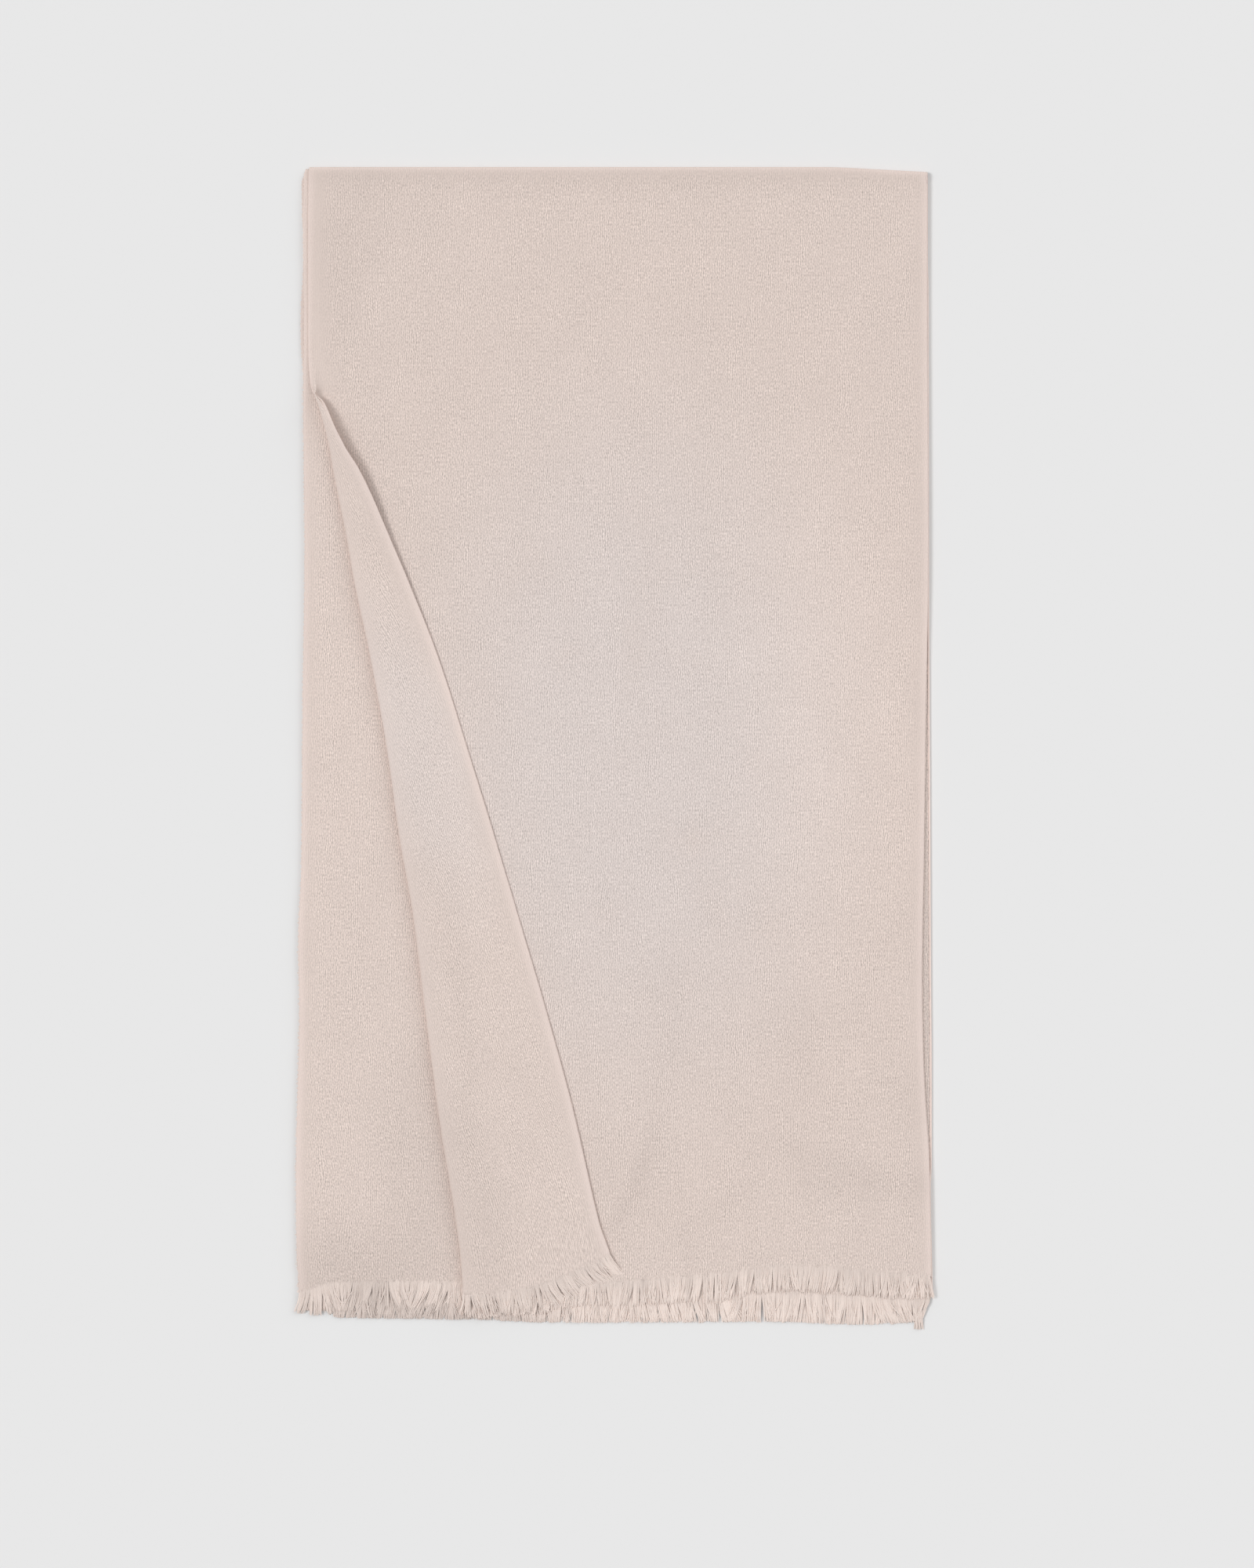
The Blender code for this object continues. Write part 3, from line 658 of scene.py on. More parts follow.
def mesh_object(name, points, faces, material, places=None, **values):
    """A smooth object from arrays, with each corner's place in the cloth and named values a point."""
    mesh = bpy.data.meshes.new(name)
    mesh.from_pydata(points, [], faces)
    if places is not None:
        layer = mesh.uv_layers.new(name="threads")
        layer.uv.foreach_set("vector", places[faces.ravel()].astype(np.float32).ravel())
    for key, value in values.items():
        attribute = mesh.attributes.new(key, "FLOAT", "POINT")
        attribute.data.foreach_set("value", value.astype(np.float32).ravel())
    mesh.shade_smooth()
    mesh.materials.append(material)
    obj = bpy.data.objects.new(name, mesh)
    bpy.context.scene.collection.objects.link(obj)
    return obj


def shell(name, middle, places, material, shade, edges, bends=(), sides=(0.0, 1.0)):
    """A closed sheet of even thickness about a grid of points, with rounded rims.

    places holds each point's place in the unfolded cloth. edges and bends are the distances from where
    it is painted lighter as a highlight and smoother, and from where it is only smoother. sides says which of
    its two sides is the cloth's reverse, 1, and which its face, 0.
    """
    rows, columns = middle.shape[:2]
    down, across = np.gradient(middle, axis=0), np.gradient(middle, axis=1)
    half = unit(np.cross(across, down)) * CLOTH / 2
    out = np.zeros_like(middle)
    out[0] -= unit(down[0])
    out[-1] += unit(down[-1])
    out[:, 0] -= unit(across[:, 0])
    out[:, -1] += unit(across[:, -1])

    number = np.arange(rows * columns).reshape(rows, columns)
    loop = np.concatenate([number[0], number[1:, -1], number[-1, -2::-1], number[-2:0:-1, 0]])
    rim = middle.reshape(-1, 3)[loop] + unit(out.reshape(-1, 3)[loop]) * CLOTH * RIM_BULGE
    points = np.concatenate([(middle + half).reshape(-1, 3), (middle - half).reshape(-1, 3), rim])
    quads = np.stack([number[:-1, :-1], number[:-1, 1:], number[1:, 1:], number[1:, :-1]], -1).reshape(-1, 4)
    upper, lower, ring = loop, loop + number.size, 2 * number.size + np.arange(len(loop))
    rims = [
        np.stack([np.roll(upper, -1), upper, ring, np.roll(ring, -1)], -1),
        np.stack([np.roll(ring, -1), ring, lower, np.roll(lower, -1)], -1),
    ]
    faces = np.concatenate([quads, quads[:, ::-1] + number.size, *rims])
    from_grid = np.concatenate([number.ravel(), number.ravel(), loop])
    edge, smooth = near(EDGE_REACH, *edges), near(SMOOTH_REACH, *edges, *bends)
    looks = {"edge": edge, "smooth": smooth, "shade": shade}
    looks = {key: value.ravel()[from_grid] for key, value in looks.items()}
    looks["reverse"] = np.repeat([*sides, sum(sides) / 2], [number.size, number.size, len(loop)])
    return mesh_object(name, points, faces, material, places.reshape(-1, 2)[from_grid], **looks)


def section(centre, side, up, half_width):
    """The four corners of a flattened strand round each centre."""
    corners = [side * a + up * b for a, b in zip(SECTION["side"], SECTION["up"])]
    return np.stack([centre + half_width * corner for corner in corners], 1)


def tubes(name, material, *rows):
    """One object of several rows of tubes, closed at both ends.

    Each row is its rings, as (tubes, rings, corners, xyz), and their tones, as (tubes, rings).
    """
    rings, tones = (np.concatenate(part) for part in zip(*rows))
    count, steps, sides = rings.shape[:3]
    number = np.arange(count * steps * sides).reshape(count, steps, sides)
    beside = np.roll(number, -1, axis=2)
    quads = np.stack([number[:, :-1], beside[:, :-1], beside[:, 1:], number[:, 1:]], -1)
    faces = [number[:, 0, ::-1], number[:, -1], quads.reshape(-1, 4)]
    tone = np.repeat(tones, sides)
    obj = mesh_object(name, rings.reshape(-1, 3), np.concatenate(faces), material, tone=tone)
    obj.data.shade_flat()
    return obj


# Layer 1


def top_section(y):
    """Layer 1 across at y: (x, z) from under its lengthwise fold, over the panel to the selvedge."""
    shares = np.concatenate([np.arange(BEND_STEPS) / BEND_STEPS, 1 + spread(FLAP_STEPS)])
    start, fold_x, drop = length_fold(y, "upper")
    turn_x, turn_z = turn_back(y, shares)
    panel_x = start + (turn_x[:, :1] - start) * spread(PANEL_STEPS)[:-1]
    x = np.hstack([fold_x, panel_x, turn_x])
    z = np.hstack([-drop, np.zeros(panel_x.shape), turn_z])
    return x, z, shares


def top_layer_grid():
    """Layer 1's middle, from beside layer 4 up round the crosswise fold and down to its woven end.

    Also gives the column where its turn-back starts.
    """
    first_turn = LENGTH_STEPS + PANEL_STEPS
    y = stretches(*DOWN_STEPS)[:, None]
    x, z, shares = top_section(y)
    end = curve(PANEL_END, "y", x)
    end[:, first_turn:] = turned_end(shares)
    own_y = top_axis(x) + (end - top_axis(x)) * (FIRST_Y - y) / (FIRST_Y - LAST_Y)
    x[:, first_turn:], z[:, first_turn:] = turn_back(own_y[:, first_turn:], shares)
    downward = np.stack([x, own_y, TOP_MIDDLE + z], -1)

    angle = math.pi * (1 - np.arange(CROSS_STEPS) / CROSS_STEPS)[:, None]
    x = top_section(TOP_LINE["y"][0] - CROSS_RADIUS * (1 - np.sin(angle)))[0]
    round_y = top_axis(x) + CROSS_RADIUS * np.sin(angle)
    round_z = np.broadcast_to(WALL / 2 + CROSS_RADIUS * (1 + np.cos(angle)), x.shape)
    crosswise = np.stack([x, round_y, round_z], -1)
    return np.concatenate([crosswise, downward]), first_turn


def fold_lean(y):
    """How far the turn-back's fold leans from straight down the cloth at y, in radians."""
    reach = 0.02
    above, below = (curve(TURN_BACK, "fold_x", y + side * reach) for side in (1, -1))
    return np.arctan2(below - above, 2 * reach)


def top_layer_places(middle, first_turn):
    """Each point's place in the cloth before layer 1 was turned back and folded."""
    places = middle[..., :2].copy()
    fold = path_lengths(middle[:, LENGTH_STEPS::-1], 1)[:, ::-1]
    places[:, :LENGTH_STEPS, 0] = places[:, LENGTH_STEPS, 0, None] + fold[:, :LENGTH_STEPS]

    # The turned-back cloth opened out, step by step along the fold and past it
    lean = fold_lean(middle[:, first_turn, 1])[:, None]
    along_fold = np.stack([np.sin(lean), -np.cos(lean)], -1)
    past_fold = np.stack([-np.cos(lean), -np.sin(lean)], -1)
    steps = np.diff(middle[:, first_turn:], axis=1)
    along = (steps[..., :2] * along_fold).sum(-1, keepdims=True)
    past = np.hypot((steps[..., :2] * past_fold).sum(-1), steps[..., 2])[..., None]
    moves = np.cumsum(along * along_fold + past * past_fold, axis=1)
    places[:, first_turn + 1 :] = places[:, first_turn, None] + moves

    up = path_lengths(middle[CROSS_STEPS::-1], 0)[::-1]
    places[:CROSS_STEPS] = places[CROSS_STEPS]
    places[:CROSS_STEPS, :, 1] += up[:CROSS_STEPS]
    return places


def top_layer_lift(middle, first_turn):
    """How much higher than its solid's middle each point stands."""
    x, y = middle[..., 0], middle[..., 1]
    rows, columns = np.arange(middle.shape[0])[:, None], np.arange(middle.shape[1])
    from_roll = (curve(TOP_LINE, "y", x) - y - ROLL_INSET) / ROLL_WIDTH
    flap = ease((columns - first_turn - BEND_STEPS) / FLAP_RISE_STEPS)
    lift = swell(x, y) + flap * creases(FLAP_CREASES, "height", x, y)
    lift += ROLL_HEIGHT * np.exp(-(from_roll**2))
    return lift * ease(rows / CROSS_STEPS) * ease(columns / LENGTH_STEPS)


def top_layer_shade(middle, first_turn):
    """The painted shade at each point, how much lighter or darker it is painted: the panel's creases, and
    then the flap's.
    """
    x, y = middle[..., 0], middle[..., 1]
    on_flap = np.arange(middle.shape[1]) > first_turn
    flap, panel = (creases(points, "shade", x, y) for points in (FLAP_CREASES, PANEL_CREASES))
    return np.where(on_flap, flap, panel)


def top_layer(material):
    """Layer 1 with its two folds and its turn-back. Also gives its grid, and where its turn-back starts."""
    middle, first_turn = top_layer_grid()
    places = top_layer_places(middle, first_turn)
    middle[..., 2] += top_layer_lift(middle, first_turn)
    press(middle)
    across, down = path_lengths(middle, 1), path_lengths(middle, 0)
    from_fold = across - across[:, LENGTH_STEPS // 2, None]
    from_bend = across - across[:, first_turn + BEND_STEPS // 2, None]
    edges = (from_fold, across - across[:, -1:], down - down[CROSS_STEPS // 2])
    shade = top_layer_shade(middle, first_turn)
    obj = shell("top_layer", middle, places, material, shade, edges, bends=[from_bend])
    return obj, middle, first_turn


# Layers 2 to 4


def down_shares(steps):
    """0 to 1 down a layer, closer together near the crosswise fold and the woven end."""
    before, after = FINE_STEPS
    return stretches((0.0, FINE_BEFORE, before), (FINE_BEFORE, FINE_AFTER, steps), (FINE_AFTER, 1.0, after))


def layer_grid(layer, right_line, end, height, down, across, inset):
    """A level layer from right to left and from top to bottom, at shares of the way down and across."""
    down, across = down[:, None], across[None, :]
    y = TOP_LINE["y"][0] + (end["y"].mean() - TOP_LINE["y"][0]) * down + 0 * across
    for _ in range(GRID_ROUNDS):
        left_x = curve(LEFT_LINES, layer, y)
        right_x = curve(RIGHT_LINES, right_line, y) - inset
        x = right_x + (left_x - right_x) * across
        top = np.minimum(top_axis(x), CORNER_YS[layer] + CORNER_SLOPE * (x - left_x))
        y = top + (curve(end, "y", x) - top) * down
    return np.stack([x, y, np.full(x.shape, height)], -1)


def inner_levels():
    """Layers 2 and 3, which follow the swell of layer 1."""
    inset = WALL + LENGTH_RADIUS + GAP
    hidden = np.linspace(0, SHOWING, HIDDEN_STEPS, endpoint=False)
    across = np.concatenate([hidden, SHOWING + (1 - SHOWING) * spread(SHOWN_STEPS)])
    down = down_shares(INNER_DOWN_STEPS)
    second = layer_grid("second", "upper", SECOND_END, SECOND_MIDDLE, down, across, inset)
    third = layer_grid("third", "lower", LOWER_END, THIRD_MIDDLE, down, across, inset)
    x, y = second[..., 0], second[..., 1]
    own = creases(SECOND_CREASES, "height", x, y) + beside_fold(x, y)
    own += waves(x, y, SECOND_WAVES) * settled_edges(x, y)
    second[..., 2] += swell(x, y) * SECOND_MIDDLE / TOP_MIDDLE + own
    third[..., 2] += swell(third[..., 0], third[..., 1]) * THIRD_MIDDLE / TOP_MIDDLE
    press(second)
    press(third)
    return second, third


def inner_places(middle, fold_row):
    """Places in the unfolded cloth: layer 2 mirrored at the right-hand fold, then up round to layer 3."""
    places = middle[..., :2].copy()
    places[..., 0] = 2 * curve(RIGHT_LINES, "upper", places[..., 1]) - places[..., 0]
    places[fold_row:, :, 0] = places[fold_row, :, 0]
    places[fold_row:, :, 1] = places[fold_row, :, 1] + path_lengths(middle[fold_row:], 0)
    return places


def inner_layers(material):
    """Layers 2 and 3 and the crosswise fold between them. Also gives their two grids."""
    second, third = inner_levels()
    turn = math.pi * np.arange(1, INNER_FOLD_STEPS) / INNER_FOLD_STEPS
    fold = second[0] + (third[0] - second[0]) * ((1 - np.cos(turn)) / 2)[:, None, None]
    fold[..., 1] += PITCH / 2 * np.sin(turn)[:, None]
    middle = np.concatenate([second[::-1], fold, third])
    places = inner_places(middle, fold_row=len(second) - 1)
    from_right = path_lengths(middle, 1)
    shade = creases(SECOND_CREASES, "shade", middle[..., 0], middle[..., 1])
    obj = shell("inner_layers", middle, places, material, shade, [from_right - from_right[:, -1:]])
    return obj, second, third


def bottom_layer(material):
    """Layer 4 with the lengthwise fold that joins it to layer 3. Also gives its grid."""
    across, down = spread(BOTTOM_STEPS), down_shares(BOTTOM_DOWN_STEPS)
    inset = WALL / 2 + LENGTH_RADIUS
    level = layer_grid("fourth", "lower", LOWER_END, FOURTH_MIDDLE, down, across, inset)
    right_y = level[:, :1, 1]
    start, fold_x, rise = length_fold(right_y, "lower")
    level[:, :, 0] += (start - level[:, :1, 0]) * (1 - across)
    fold = np.stack([fold_x, right_y + 0 * fold_x, FOURTH_MIDDLE + rise], -1)
    middle = np.concatenate([fold, level], axis=1)
    press(middle)
    from_right = path_lengths(middle, 1)
    places = middle[..., :2].copy()
    places[..., 0] = middle[:, LENGTH_STEPS, 0, None] - from_right + from_right[:, LENGTH_STEPS, None]
    edges = from_right - from_right[:, LENGTH_STEPS // 2, None], from_right - from_right[:, -1:]
    # painted light on the lower lengthwise fold, against the shade beside the layers above
    shade = LOWER_FOLD_PAINTED_LIGHT * near(SMOOTH_REACH, edges[0])
    return shell("bottom_layer", middle, places, material, shade, edges, sides=(1.0, 0.0)), level


# Fringes


def heading(lean):
    """The way down the cloth, leaning towards +X."""
    lean = np.radians(lean)
    return np.stack([np.sin(lean), -np.cos(lean), 0 * lean], -1)


def at_places(line, values, places):
    """Values along a line of points, at distances along it."""
    known = path_lengths(line, 0)
    return np.stack([np.interp(places, known, values[:, axis]) for axis in range(values.shape[1])], -1)


def locks(places, chance):
    """Which lock each strand is in, and the middle and half width of its lock. The widths are uneven."""
    bounds = [places.min() - THREAD]
    while bounds[-1] <= places.max():
        bounds.append(bounds[-1] + chance.uniform(*LOCK_WIDTHS))
    number = np.searchsorted(bounds, places) - 1
    bounds = np.array(bounds)
    return number, (bounds[number] + bounds[number + 1]) / 2, np.diff(bounds)[number] / 2


def tip_leans(form, share, length, middles, lock_lean, chance):
    """How much each strand leans at its tip, and which strands are stray."""
    lean = curve(form, "lean", share) + lock_lean * LOCK_LEAN
    groups = np.arange(0.0, length + GROUP_WIDTH, GROUP_WIDTH)
    lean = lean + np.interp(middles, groups, chance.uniform(-GROUP_LEAN, GROUP_LEAN, len(groups)))
    stray = chance.random(len(share)) < STRAY_SHARE
    return lean + chance.normal(0, 1, len(share)) * np.where(stray, STRAY_LEAN, STRAND_LEAN), stray


def strand_lengths(form, share, lock_length, chance):
    """How long each strand is, and how much of that is inside the woven end."""
    longer = chance.uniform(*STRAND_LENGTHS, len(share)) + np.interp(lock_length, [-1, 1], LOCK_LENGTHS)
    longer = longer * curve(form, "uneven", share)
    inset = chance.uniform(*ROOT_INSETS, len(share))
    return curve(form, "length", share) * (1 + longer) + STRIP_WIDTH + inset, inset


def strand_tones(form, share, lock_tone, chance):
    """How light each strand is painted at each of its rings: its own and its lock's tone, with painted shade
    and light by its fringe's roots and tips and along its length.
    """
    root, tip = (curve(form, end, share)[:, None] for end in ("root", "tip"))
    own = (lock_tone + chance.normal(0, 1, len(share)))[:, None] / 2
    return root + (tip - root) * STRAND["share"] + own + STRAND["tone"]


def fringe_rings(line, ups, form, root_leans, tip_height, seed):
    """The rings of every strand out of a woven end, and their tones.

    line runs along the end from the left, ups is the cloth's way up there, root_leans how the threads
    lean in the cloth at its two ends, and tip_height how high the tips lie.
    """
    chance = np.random.default_rng(seed)
    length = path_lengths(line, 0)[-1]
    places = np.arange(THREAD / 2, length, THREAD / STRANDS_A_THREAD)
    count = len(places)
    places = np.clip(places + chance.uniform(-PLACE_JITTER, PLACE_JITTER, count) * THREAD, 0, length)
    number, middles, half_widths = locks(places, chance)
    of_lock = chance.uniform(-1, 1, (number.max() + 1, 5))[number]
    lock_lean, lock_length, lock_gather, lock_hump, lock_tone = of_lock.T
    share = places / length
    root, up = at_places(line, line, places), unit(at_places(line, ups, places))
    along = unit(at_places(line, line, places + THREAD) - at_places(line, line, places - THREAD))

    lean = np.interp(share, [0, 1], root_leans)
    tip_lean, stray = tip_leans(form, share, length, middles, lock_lean, chance)
    strand_length, inset = strand_lengths(form, share, lock_length, chance)
    gather = (middles - places) * np.interp(lock_gather, [-1, 1], LOCK_GATHERS)
    hump = (1 + lock_hump) / 2 * LOCK_HUMP + stray * STRAY_RISE
    dome = LOCK_THICKNESS * np.sqrt(np.maximum(0.0, 1 - ((places - middles) / half_widths) ** 2))
    sway = chance.normal(0, STRAND_SWAY, (count, 2))
    half_width = chance.uniform(*STRAND_HALF_WIDTHS, count)[:, None]
    drop = root[:, 2] - tip_height

    rings = []
    centre, so_far = root - heading(lean) * inset[:, None], 0.0
    for t, taper in zip(STRAND["share"], STRAND["taper"]):
        way = heading(lean + (tip_lean - lean) * ease(LEAN_PACE * t))
        centre = centre + way * (strand_length * (t - so_far))[:, None]
        so_far = t
        bulge, risen = math.sin(math.pi * t), ease(RISE_PACE * t)
        sideways = gather * ease(t) + sway[:, 0] * bulge
        height = hump * bulge + dome * risen - drop * t**DROOP + sway[:, 1] * t
        on_cloth = CLOTH / 2 * (1 - risen)
        at_ring = centre + along * sideways[:, None] + UP * height[:, None] + up * on_cloth
        at_ring[:, 2] = np.maximum(at_ring[:, 2], LOWEST)
        side = unit(np.cross(way, up))
        rings.append(section(at_ring, side, up, half_width * taper))
    return np.stack(rings, 1), strand_tones(form, share, lock_tone, chance)


def fringes(material, top_middle, first_turn, second, third, fourth):
    """The fringe of each woven end, from the top."""
    on_flap = slice(first_turn + FLAP_FRINGE_STEPS, None)
    lines = {
        "panel": top_middle[-1, LENGTH_STEPS : first_turn + 1][::-1],
        "flap": top_middle[-1, on_flap],
        "second": second[-1, ::-1],
        "third": third[-1, ::-1],
        "fourth": fourth[-1, ::-1],
    }
    ups = {end: np.broadcast_to(UP, line.shape) for end, line in lines.items()}
    down, across = np.gradient(top_middle, axis=0)[-1], np.gradient(top_middle, axis=1)[-1]
    ups["flap"] = -unit(np.cross(across, down))[on_flap]
    made = {end: fringe_rings(lines[end], ups[end], *form) for end, form in WOVEN_ENDS.items()}
    return [
        tubes("strands_front", material, made["panel"]),
        tubes("strands_turned_back", material, made["flap"]),
        tubes("strands_second_layer", material, made["second"]),
        tubes("strands_back_end", material, made["third"], made["fourth"]),
    ]


# Selvedges


def loop_rings(line, seed):
    """The rings of small loops of weft along a selvedge that runs down the left side."""
    chance = np.random.default_rng(seed)
    length = path_lengths(line, 0)[-1]
    places = np.cumsum(chance.uniform(*LOOP_PITCHES, int(length / LOOP_PITCHES[0])))
    places = places[places < length - THREAD]
    root = at_places(line, line, places)
    along = unit(at_places(line, line, places + THREAD) - root)
    out = unit(np.cross(UP, along)) * -1
    reach = curve(LOOPS, "reach", root[:, 1]) * chance.uniform(*LOOP_SHARES, len(places))
    half = chance.uniform(*LOOP_HALF_LENGTHS, len(places))
    rings = []
    for angle in LOOP_ANGLES:
        centre = root + along * (half * math.sin(angle))[:, None]
        centre = centre + out * (reach * math.cos(angle) + CLOTH * RIM_BULGE / 2)[:, None]
        side = out * math.cos(angle) + along * math.sin(angle)
        rings.append(section(centre, side, UP, LOOP_RADIUS))
    tones = chance.normal(0, LOOP_TONES, len(places))
    return np.stack(rings, 1), np.repeat(tones[:, None], len(rings), axis=1)


def selvedge_loops(material, *lines):
    """One object of the loops along several selvedges."""
    made = [loop_rings(line, seed) for seed, line in enumerate(lines, start=LOOP_SEED)]
    return tubes("selvedge_loops", material, *made)


# Materials


class Nodes:
    """A material's node tree, with short ways to add to it."""

    def __init__(self, name):
        self.material = bpy.data.materials.new(name)
        self.material.use_nodes = True
        self.tree = self.material.node_tree
        self.shader = self.tree.nodes["Principled BSDF"]

    def feed(self, node, inputs):
        for key, value in inputs.items():
            if isinstance(value, bpy.types.NodeSocket):
                self.tree.links.new(value, node.inputs[key])
            else:
                node.inputs[key].default_value = value

    def add(self, kind, inputs, output=0, **settings):
        node = self.tree.nodes.new(kind)
        for key, value in settings.items():
            setattr(node, key, value)
        self.feed(node, inputs)
        return node.outputs[output]

    def math(self, operation, *values):
        return self.add("ShaderNodeMath", dict(enumerate(values)), operation=operation)

    def vector(self, operation, *values):
        return self.add("ShaderNodeVectorMath", dict(enumerate(values)), operation=operation)

    def attribute(self, name):
        return self.add("ShaderNodeAttribute", {}, "Fac", attribute_name=name)

    def scale(self, colour, brightness):
        return self.add("ShaderNodeVectorMath", {0: colour, "Scale": brightness}, operation="SCALE")

    def noise(self, at, size, detail=1.0, output="Fac"):
        """Noise about 0.5, with lumps of this size across and along the cloth."""
        scaled = self.vector("DIVIDE", at, (*size, 1.0))
        inputs = {"Vector": scaled, "Scale": 1.0, "Detail": detail}
        return self.add("ShaderNodeTexNoise", inputs, output, noise_dimensions="2D")

    def shade(self, brightness, value, amount, middle=0.5):
        """The brightness with (value - middle) * amount added to it."""
        offset = self.math("SUBTRACT", value, middle)
        return self.math("MULTIPLY_ADD", offset, amount, brightness)

    def mix(self, share, first, second):
        return self.add("ShaderNodeMix", {0: share, 6: first, 7: second}, 2, data_type="RGBA")

    def ramp(self, value, low, high):
        inputs = {"Value": value, "From Min": low, "From Max": high}
        return self.add("ShaderNodeMapRange", inputs, interpolation_type="SMOOTHSTEP")


def rgba(colour):
    return (*colour, 1.0)


def weave(n, at):
    """How much thread is there, 0 to 1, which thread is on top, and the pairs, both -1 to 1."""
    threads = n.vector("DIVIDE", at, (THREAD, THREAD, 1.0))
    for amount, size in ((WANDER, WANDER_SIZE), (DRIFT, DRIFT_SIZE)):
        aside = n.vector("SUBTRACT", n.noise(at, size, output="Color"), (0.5, 0.5, 0.5))
        threads = n.vector("ADD", threads, n.vector("MULTIPLY", aside, (amount, amount, 0.0)))
    turns = n.vector("MULTIPLY", threads, (math.pi, math.pi, 0.0))
    split = n.tree.nodes.new("ShaderNodeSeparateXYZ")
    n.feed(split, {0: turns})
    warp, weft = n.math("SINE", split.outputs["X"]), n.math("SINE", split.outputs["Y"])
    body = n.math("MULTIPLY", n.math("ADD", n.math("ABSOLUTE", warp), n.math("ABSOLUTE", weft)), 0.5)
    return body, n.math("MULTIPLY", warp, weft), n.math("COSINE", split.outputs["X"])


def spots(n, at, total, places):
    """The total with soft oval spots added: (x, y, reach across and along, amount) for each."""
    for x, y, reach_x, reach_y, amount in places:
        away = n.vector("DIVIDE", n.vector("SUBTRACT", at, (x, y, 0.0)), (reach_x, reach_y, 1.0))
        from_middle = n.add("ShaderNodeVectorMath", {0: away}, "Value", operation="LENGTH")
        total = n.shade(total, n.ramp(from_middle, *SPOT_RAMP), amount, 0.0)
    return total


def thread_looks(n, at):
    """How light the threads and the yarn are, about 0, and how high they stand."""
    body, crossing, pairs = weave(n, at)
    light = n.shade(0.0, pairs, REED_SHADE, 0.0)
    light = n.shade(light, body, THREAD_SHADE, THREAD_MEAN)
    light = n.shade(light, crossing, CROSSING_SHADE, 0.0)
    for amount, size in YARNS:  # the finest comes last
        yarn = n.noise(at, size, detail=0.0)
        light = n.shade(light, yarn, amount)
    for amount, size in SLUBS:
        slub = n.ramp(n.noise(at, size, detail=0.0), *SLUB_RAMP)
        light = n.shade(light, slub, amount, 0.0)
    felt = {"Value": n.noise(at, FELT_SIZE)}
    felt["From Min"], felt["From Max"] = FELT_NOISE
    felt["To Min"], felt["To Max"] = FELT_SHARES
    light = n.math("MULTIPLY", light, n.add("ShaderNodeMapRange", felt))
    light = n.math("MULTIPLY", light, n.math("MULTIPLY_ADD", n.attribute("smooth"), -SMOOTHNESS, 1.0))
    return light, n.shade(body, yarn, YARN_RELIEF)


def nap_and_painted_shade(n, at):
    """How light the cloth is painted, about 1: its random patches, the reverse, and painted shade and light
    along the creases and in broad spots.
    """
    light = n.shade(1.0, n.noise(at, PATCH_SIZE, detail=2.0), PATCH_SHADE)
    light = n.shade(light, n.attribute("reverse"), REVERSE_SHADE, 0.0)
    # painted shade and light along the creases
    light = n.math("ADD", light, n.attribute("shade"))
    return spots(n, at, light, PAINTED_LIGHT_AND_SHADE_SPOTS)


def make_cloth():
    """Plain weave in soft, uneven yarn, smoother along its edges and folds, and painted lighter there as a
    highlight.
    """
    n = Nodes("cloth")
    at = n.add("ShaderNodeUVMap", {}, uv_map="threads")
    light, height = thread_looks(n, at)
    cool = spots(n, at, 0.0, COOL_SPOTS)
    cool = n.math("MULTIPLY", cool, n.ramp(n.noise(at, TINT_SIZE, detail=2.0), *TINT_RAMP))
    colour = n.mix(cool, rgba(CLOTH_COLOUR), rgba(COOL_COLOUR))
    # painted highlight along the edges and folds
    colour = n.mix(n.attribute("edge"), colour, rgba(EDGE_HIGHLIGHT_COLOUR))
    colour = n.scale(colour, n.math("ADD", light, nap_and_painted_shade(n, at)))
    relief = {"Strength": BUMP_STRENGTH, "Distance": WEAVE_HEIGHT, "Height": height}
    inputs = {"Base Color": colour, "Normal": n.add("ShaderNodeBump", relief), **CLOTH_SURFACE}
    n.feed(n.shader, {**inputs, "Sheen Tint": rgba(FRINGE_COLOUR)})
    return n.material


def make_strands():
    """Loose warp yarn: each strand and each lock has its own tone, on top of painted shade and light along
    the strands.
    """
    n = Nodes("fringe")
    brightness = n.math("MULTIPLY_ADD", n.attribute("tone"), TONE_SHADE, 1.0)
    n.feed(n.shader, {"Base Color": n.scale(FRINGE_COLOUR, brightness), **STRAND_SURFACE})
    return n.material


# The studio


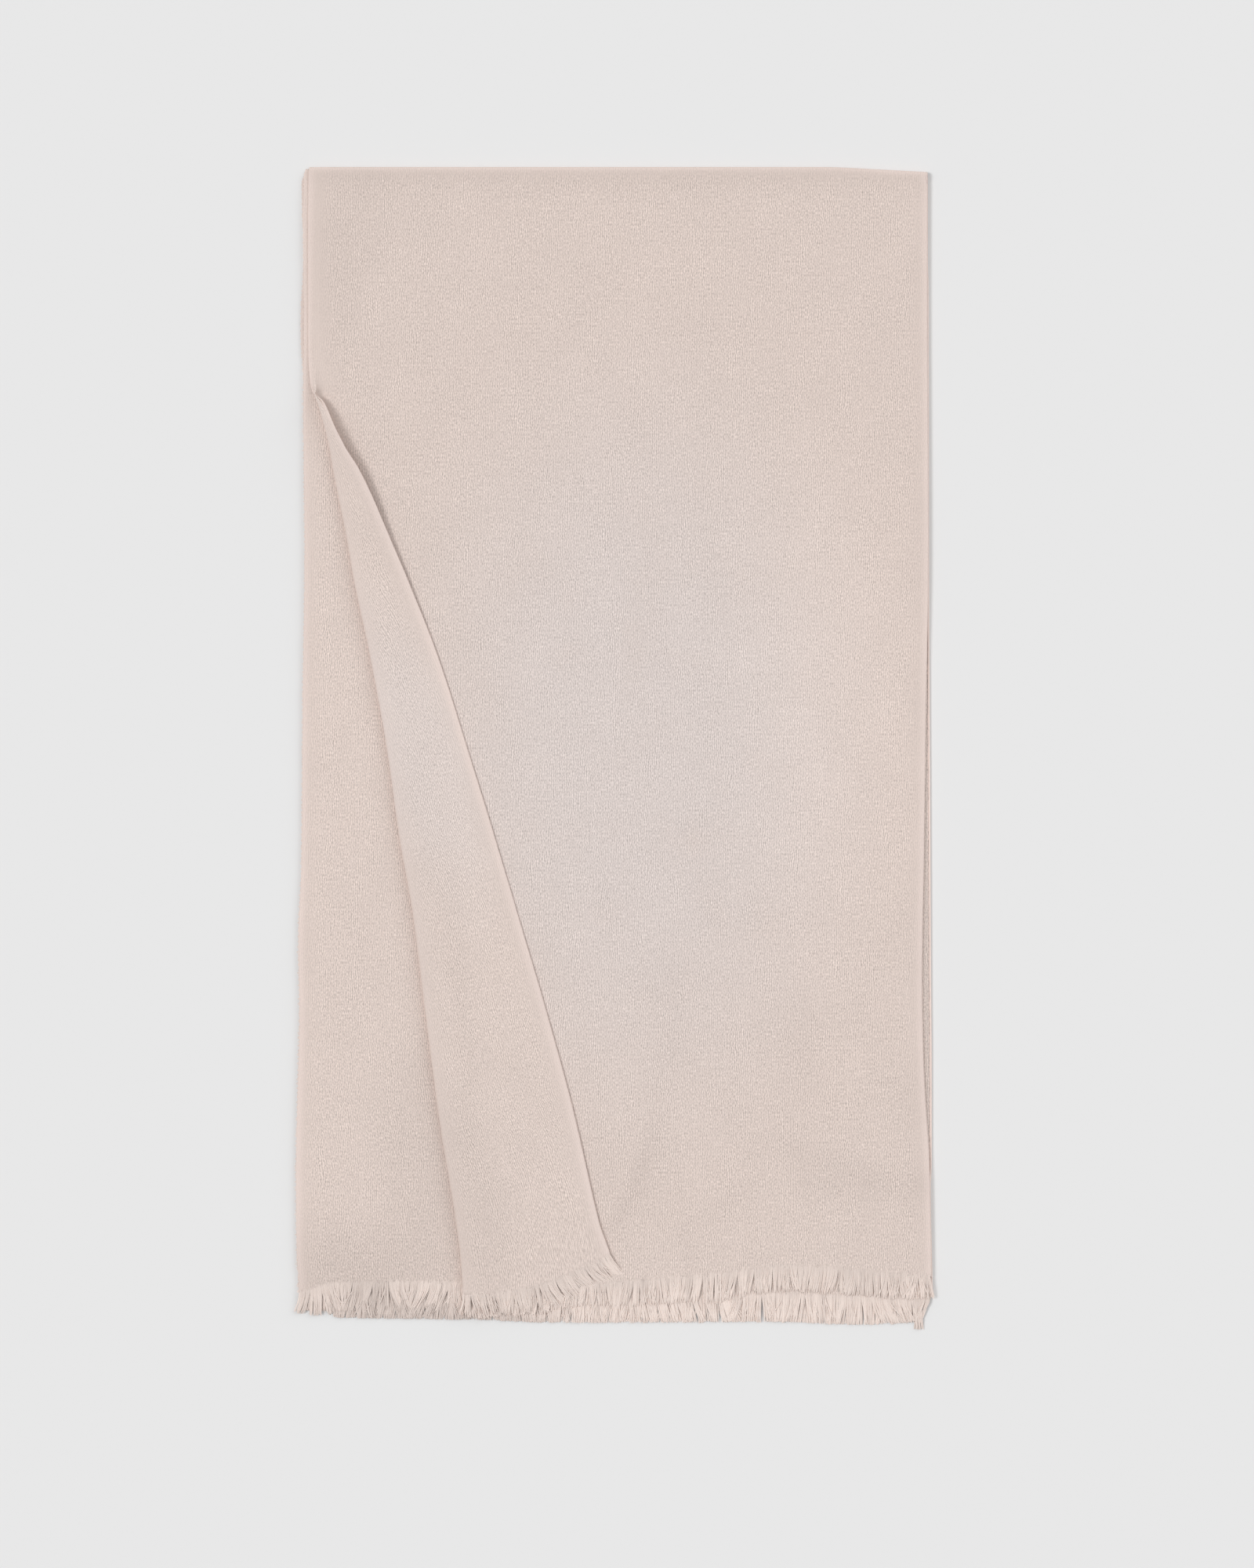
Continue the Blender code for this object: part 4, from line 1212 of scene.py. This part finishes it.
def make_floor():
    n = Nodes("floor")
    n.feed(n.shader, {"Base Color": rgba(FLOOR_COLOUR), "Roughness": 1.0, "Specular IOR Level": 0.0})
    corners = np.array([[-1, -1, 0], [1, -1, 0], [1, 1, 0], [-1, 1, 0]]) * FLOOR_REACH
    mesh_object("floor", corners, np.array([[0, 1, 2, 3]]), n.material)


def make_lights():
    """A pale sky all round, and wide soft lamps."""
    world = bpy.data.worlds.new("studio")
    world.use_nodes = True
    sky = world.node_tree.nodes["Background"].inputs
    sky["Color"].default_value = rgba((1.0, 1.0, 1.0))
    sky["Strength"].default_value = SKY_SHARE
    bpy.context.scene.world = world
    for share, *angles in LAMPS:
        tilt, turn, width = np.radians(angles)
        lamp = bpy.data.lights.new("lamp", "SUN")
        lamp.energy = share * math.pi / math.cos(tilt)
        lamp.angle = width
        holder = bpy.data.objects.new("lamp", lamp)
        holder.rotation_euler = (0.0, tilt, turn)
        bpy.context.scene.collection.objects.link(holder)


def make_camera():
    """Straight above, far enough away to see every side alike."""
    camera = bpy.data.cameras.new("camera")
    camera.sensor_fit = "VERTICAL"
    camera.sensor_height = SENSOR * 1000
    camera.lens = SENSOR * 1000 * CAMERA_HEIGHT / FRAME_HEIGHT
    holder = bpy.data.objects.new("camera", camera)
    holder.location = (CAMERA_X, CAMERA_Y, CAMERA_HEIGHT + TOP_MIDDLE)
    bpy.context.scene.collection.objects.link(holder)
    bpy.context.scene.camera = holder
    bpy.context.scene.view_settings.view_transform = "Standard"


# The shawl


def build():
    cloth, strands = make_cloth(), make_strands()
    top, top_middle, first_turn = top_layer(cloth)
    inner, second, third = inner_layers(cloth)
    bottom, fourth = bottom_layer(cloth)
    front, turned_back, second_fringe, back_end = fringes(
        strands, top_middle, first_turn, second, third, fourth
    )
    loops = selvedge_loops(strands, second[:, -1], third[:, -1], fourth[:, -1])

    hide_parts("front_layer")
    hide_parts("under_layers")
    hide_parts("under_layers")
    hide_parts("fringe_front")
    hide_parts("fringe_turned_back")
    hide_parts("fringe_second_layer")
    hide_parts("fringe_back_end")
    for piece in (top, inner, bottom, front, turned_back, second_fringe, back_end, loops):
        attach(piece, "root")


make_floor()
make_lights()
make_camera()
build()
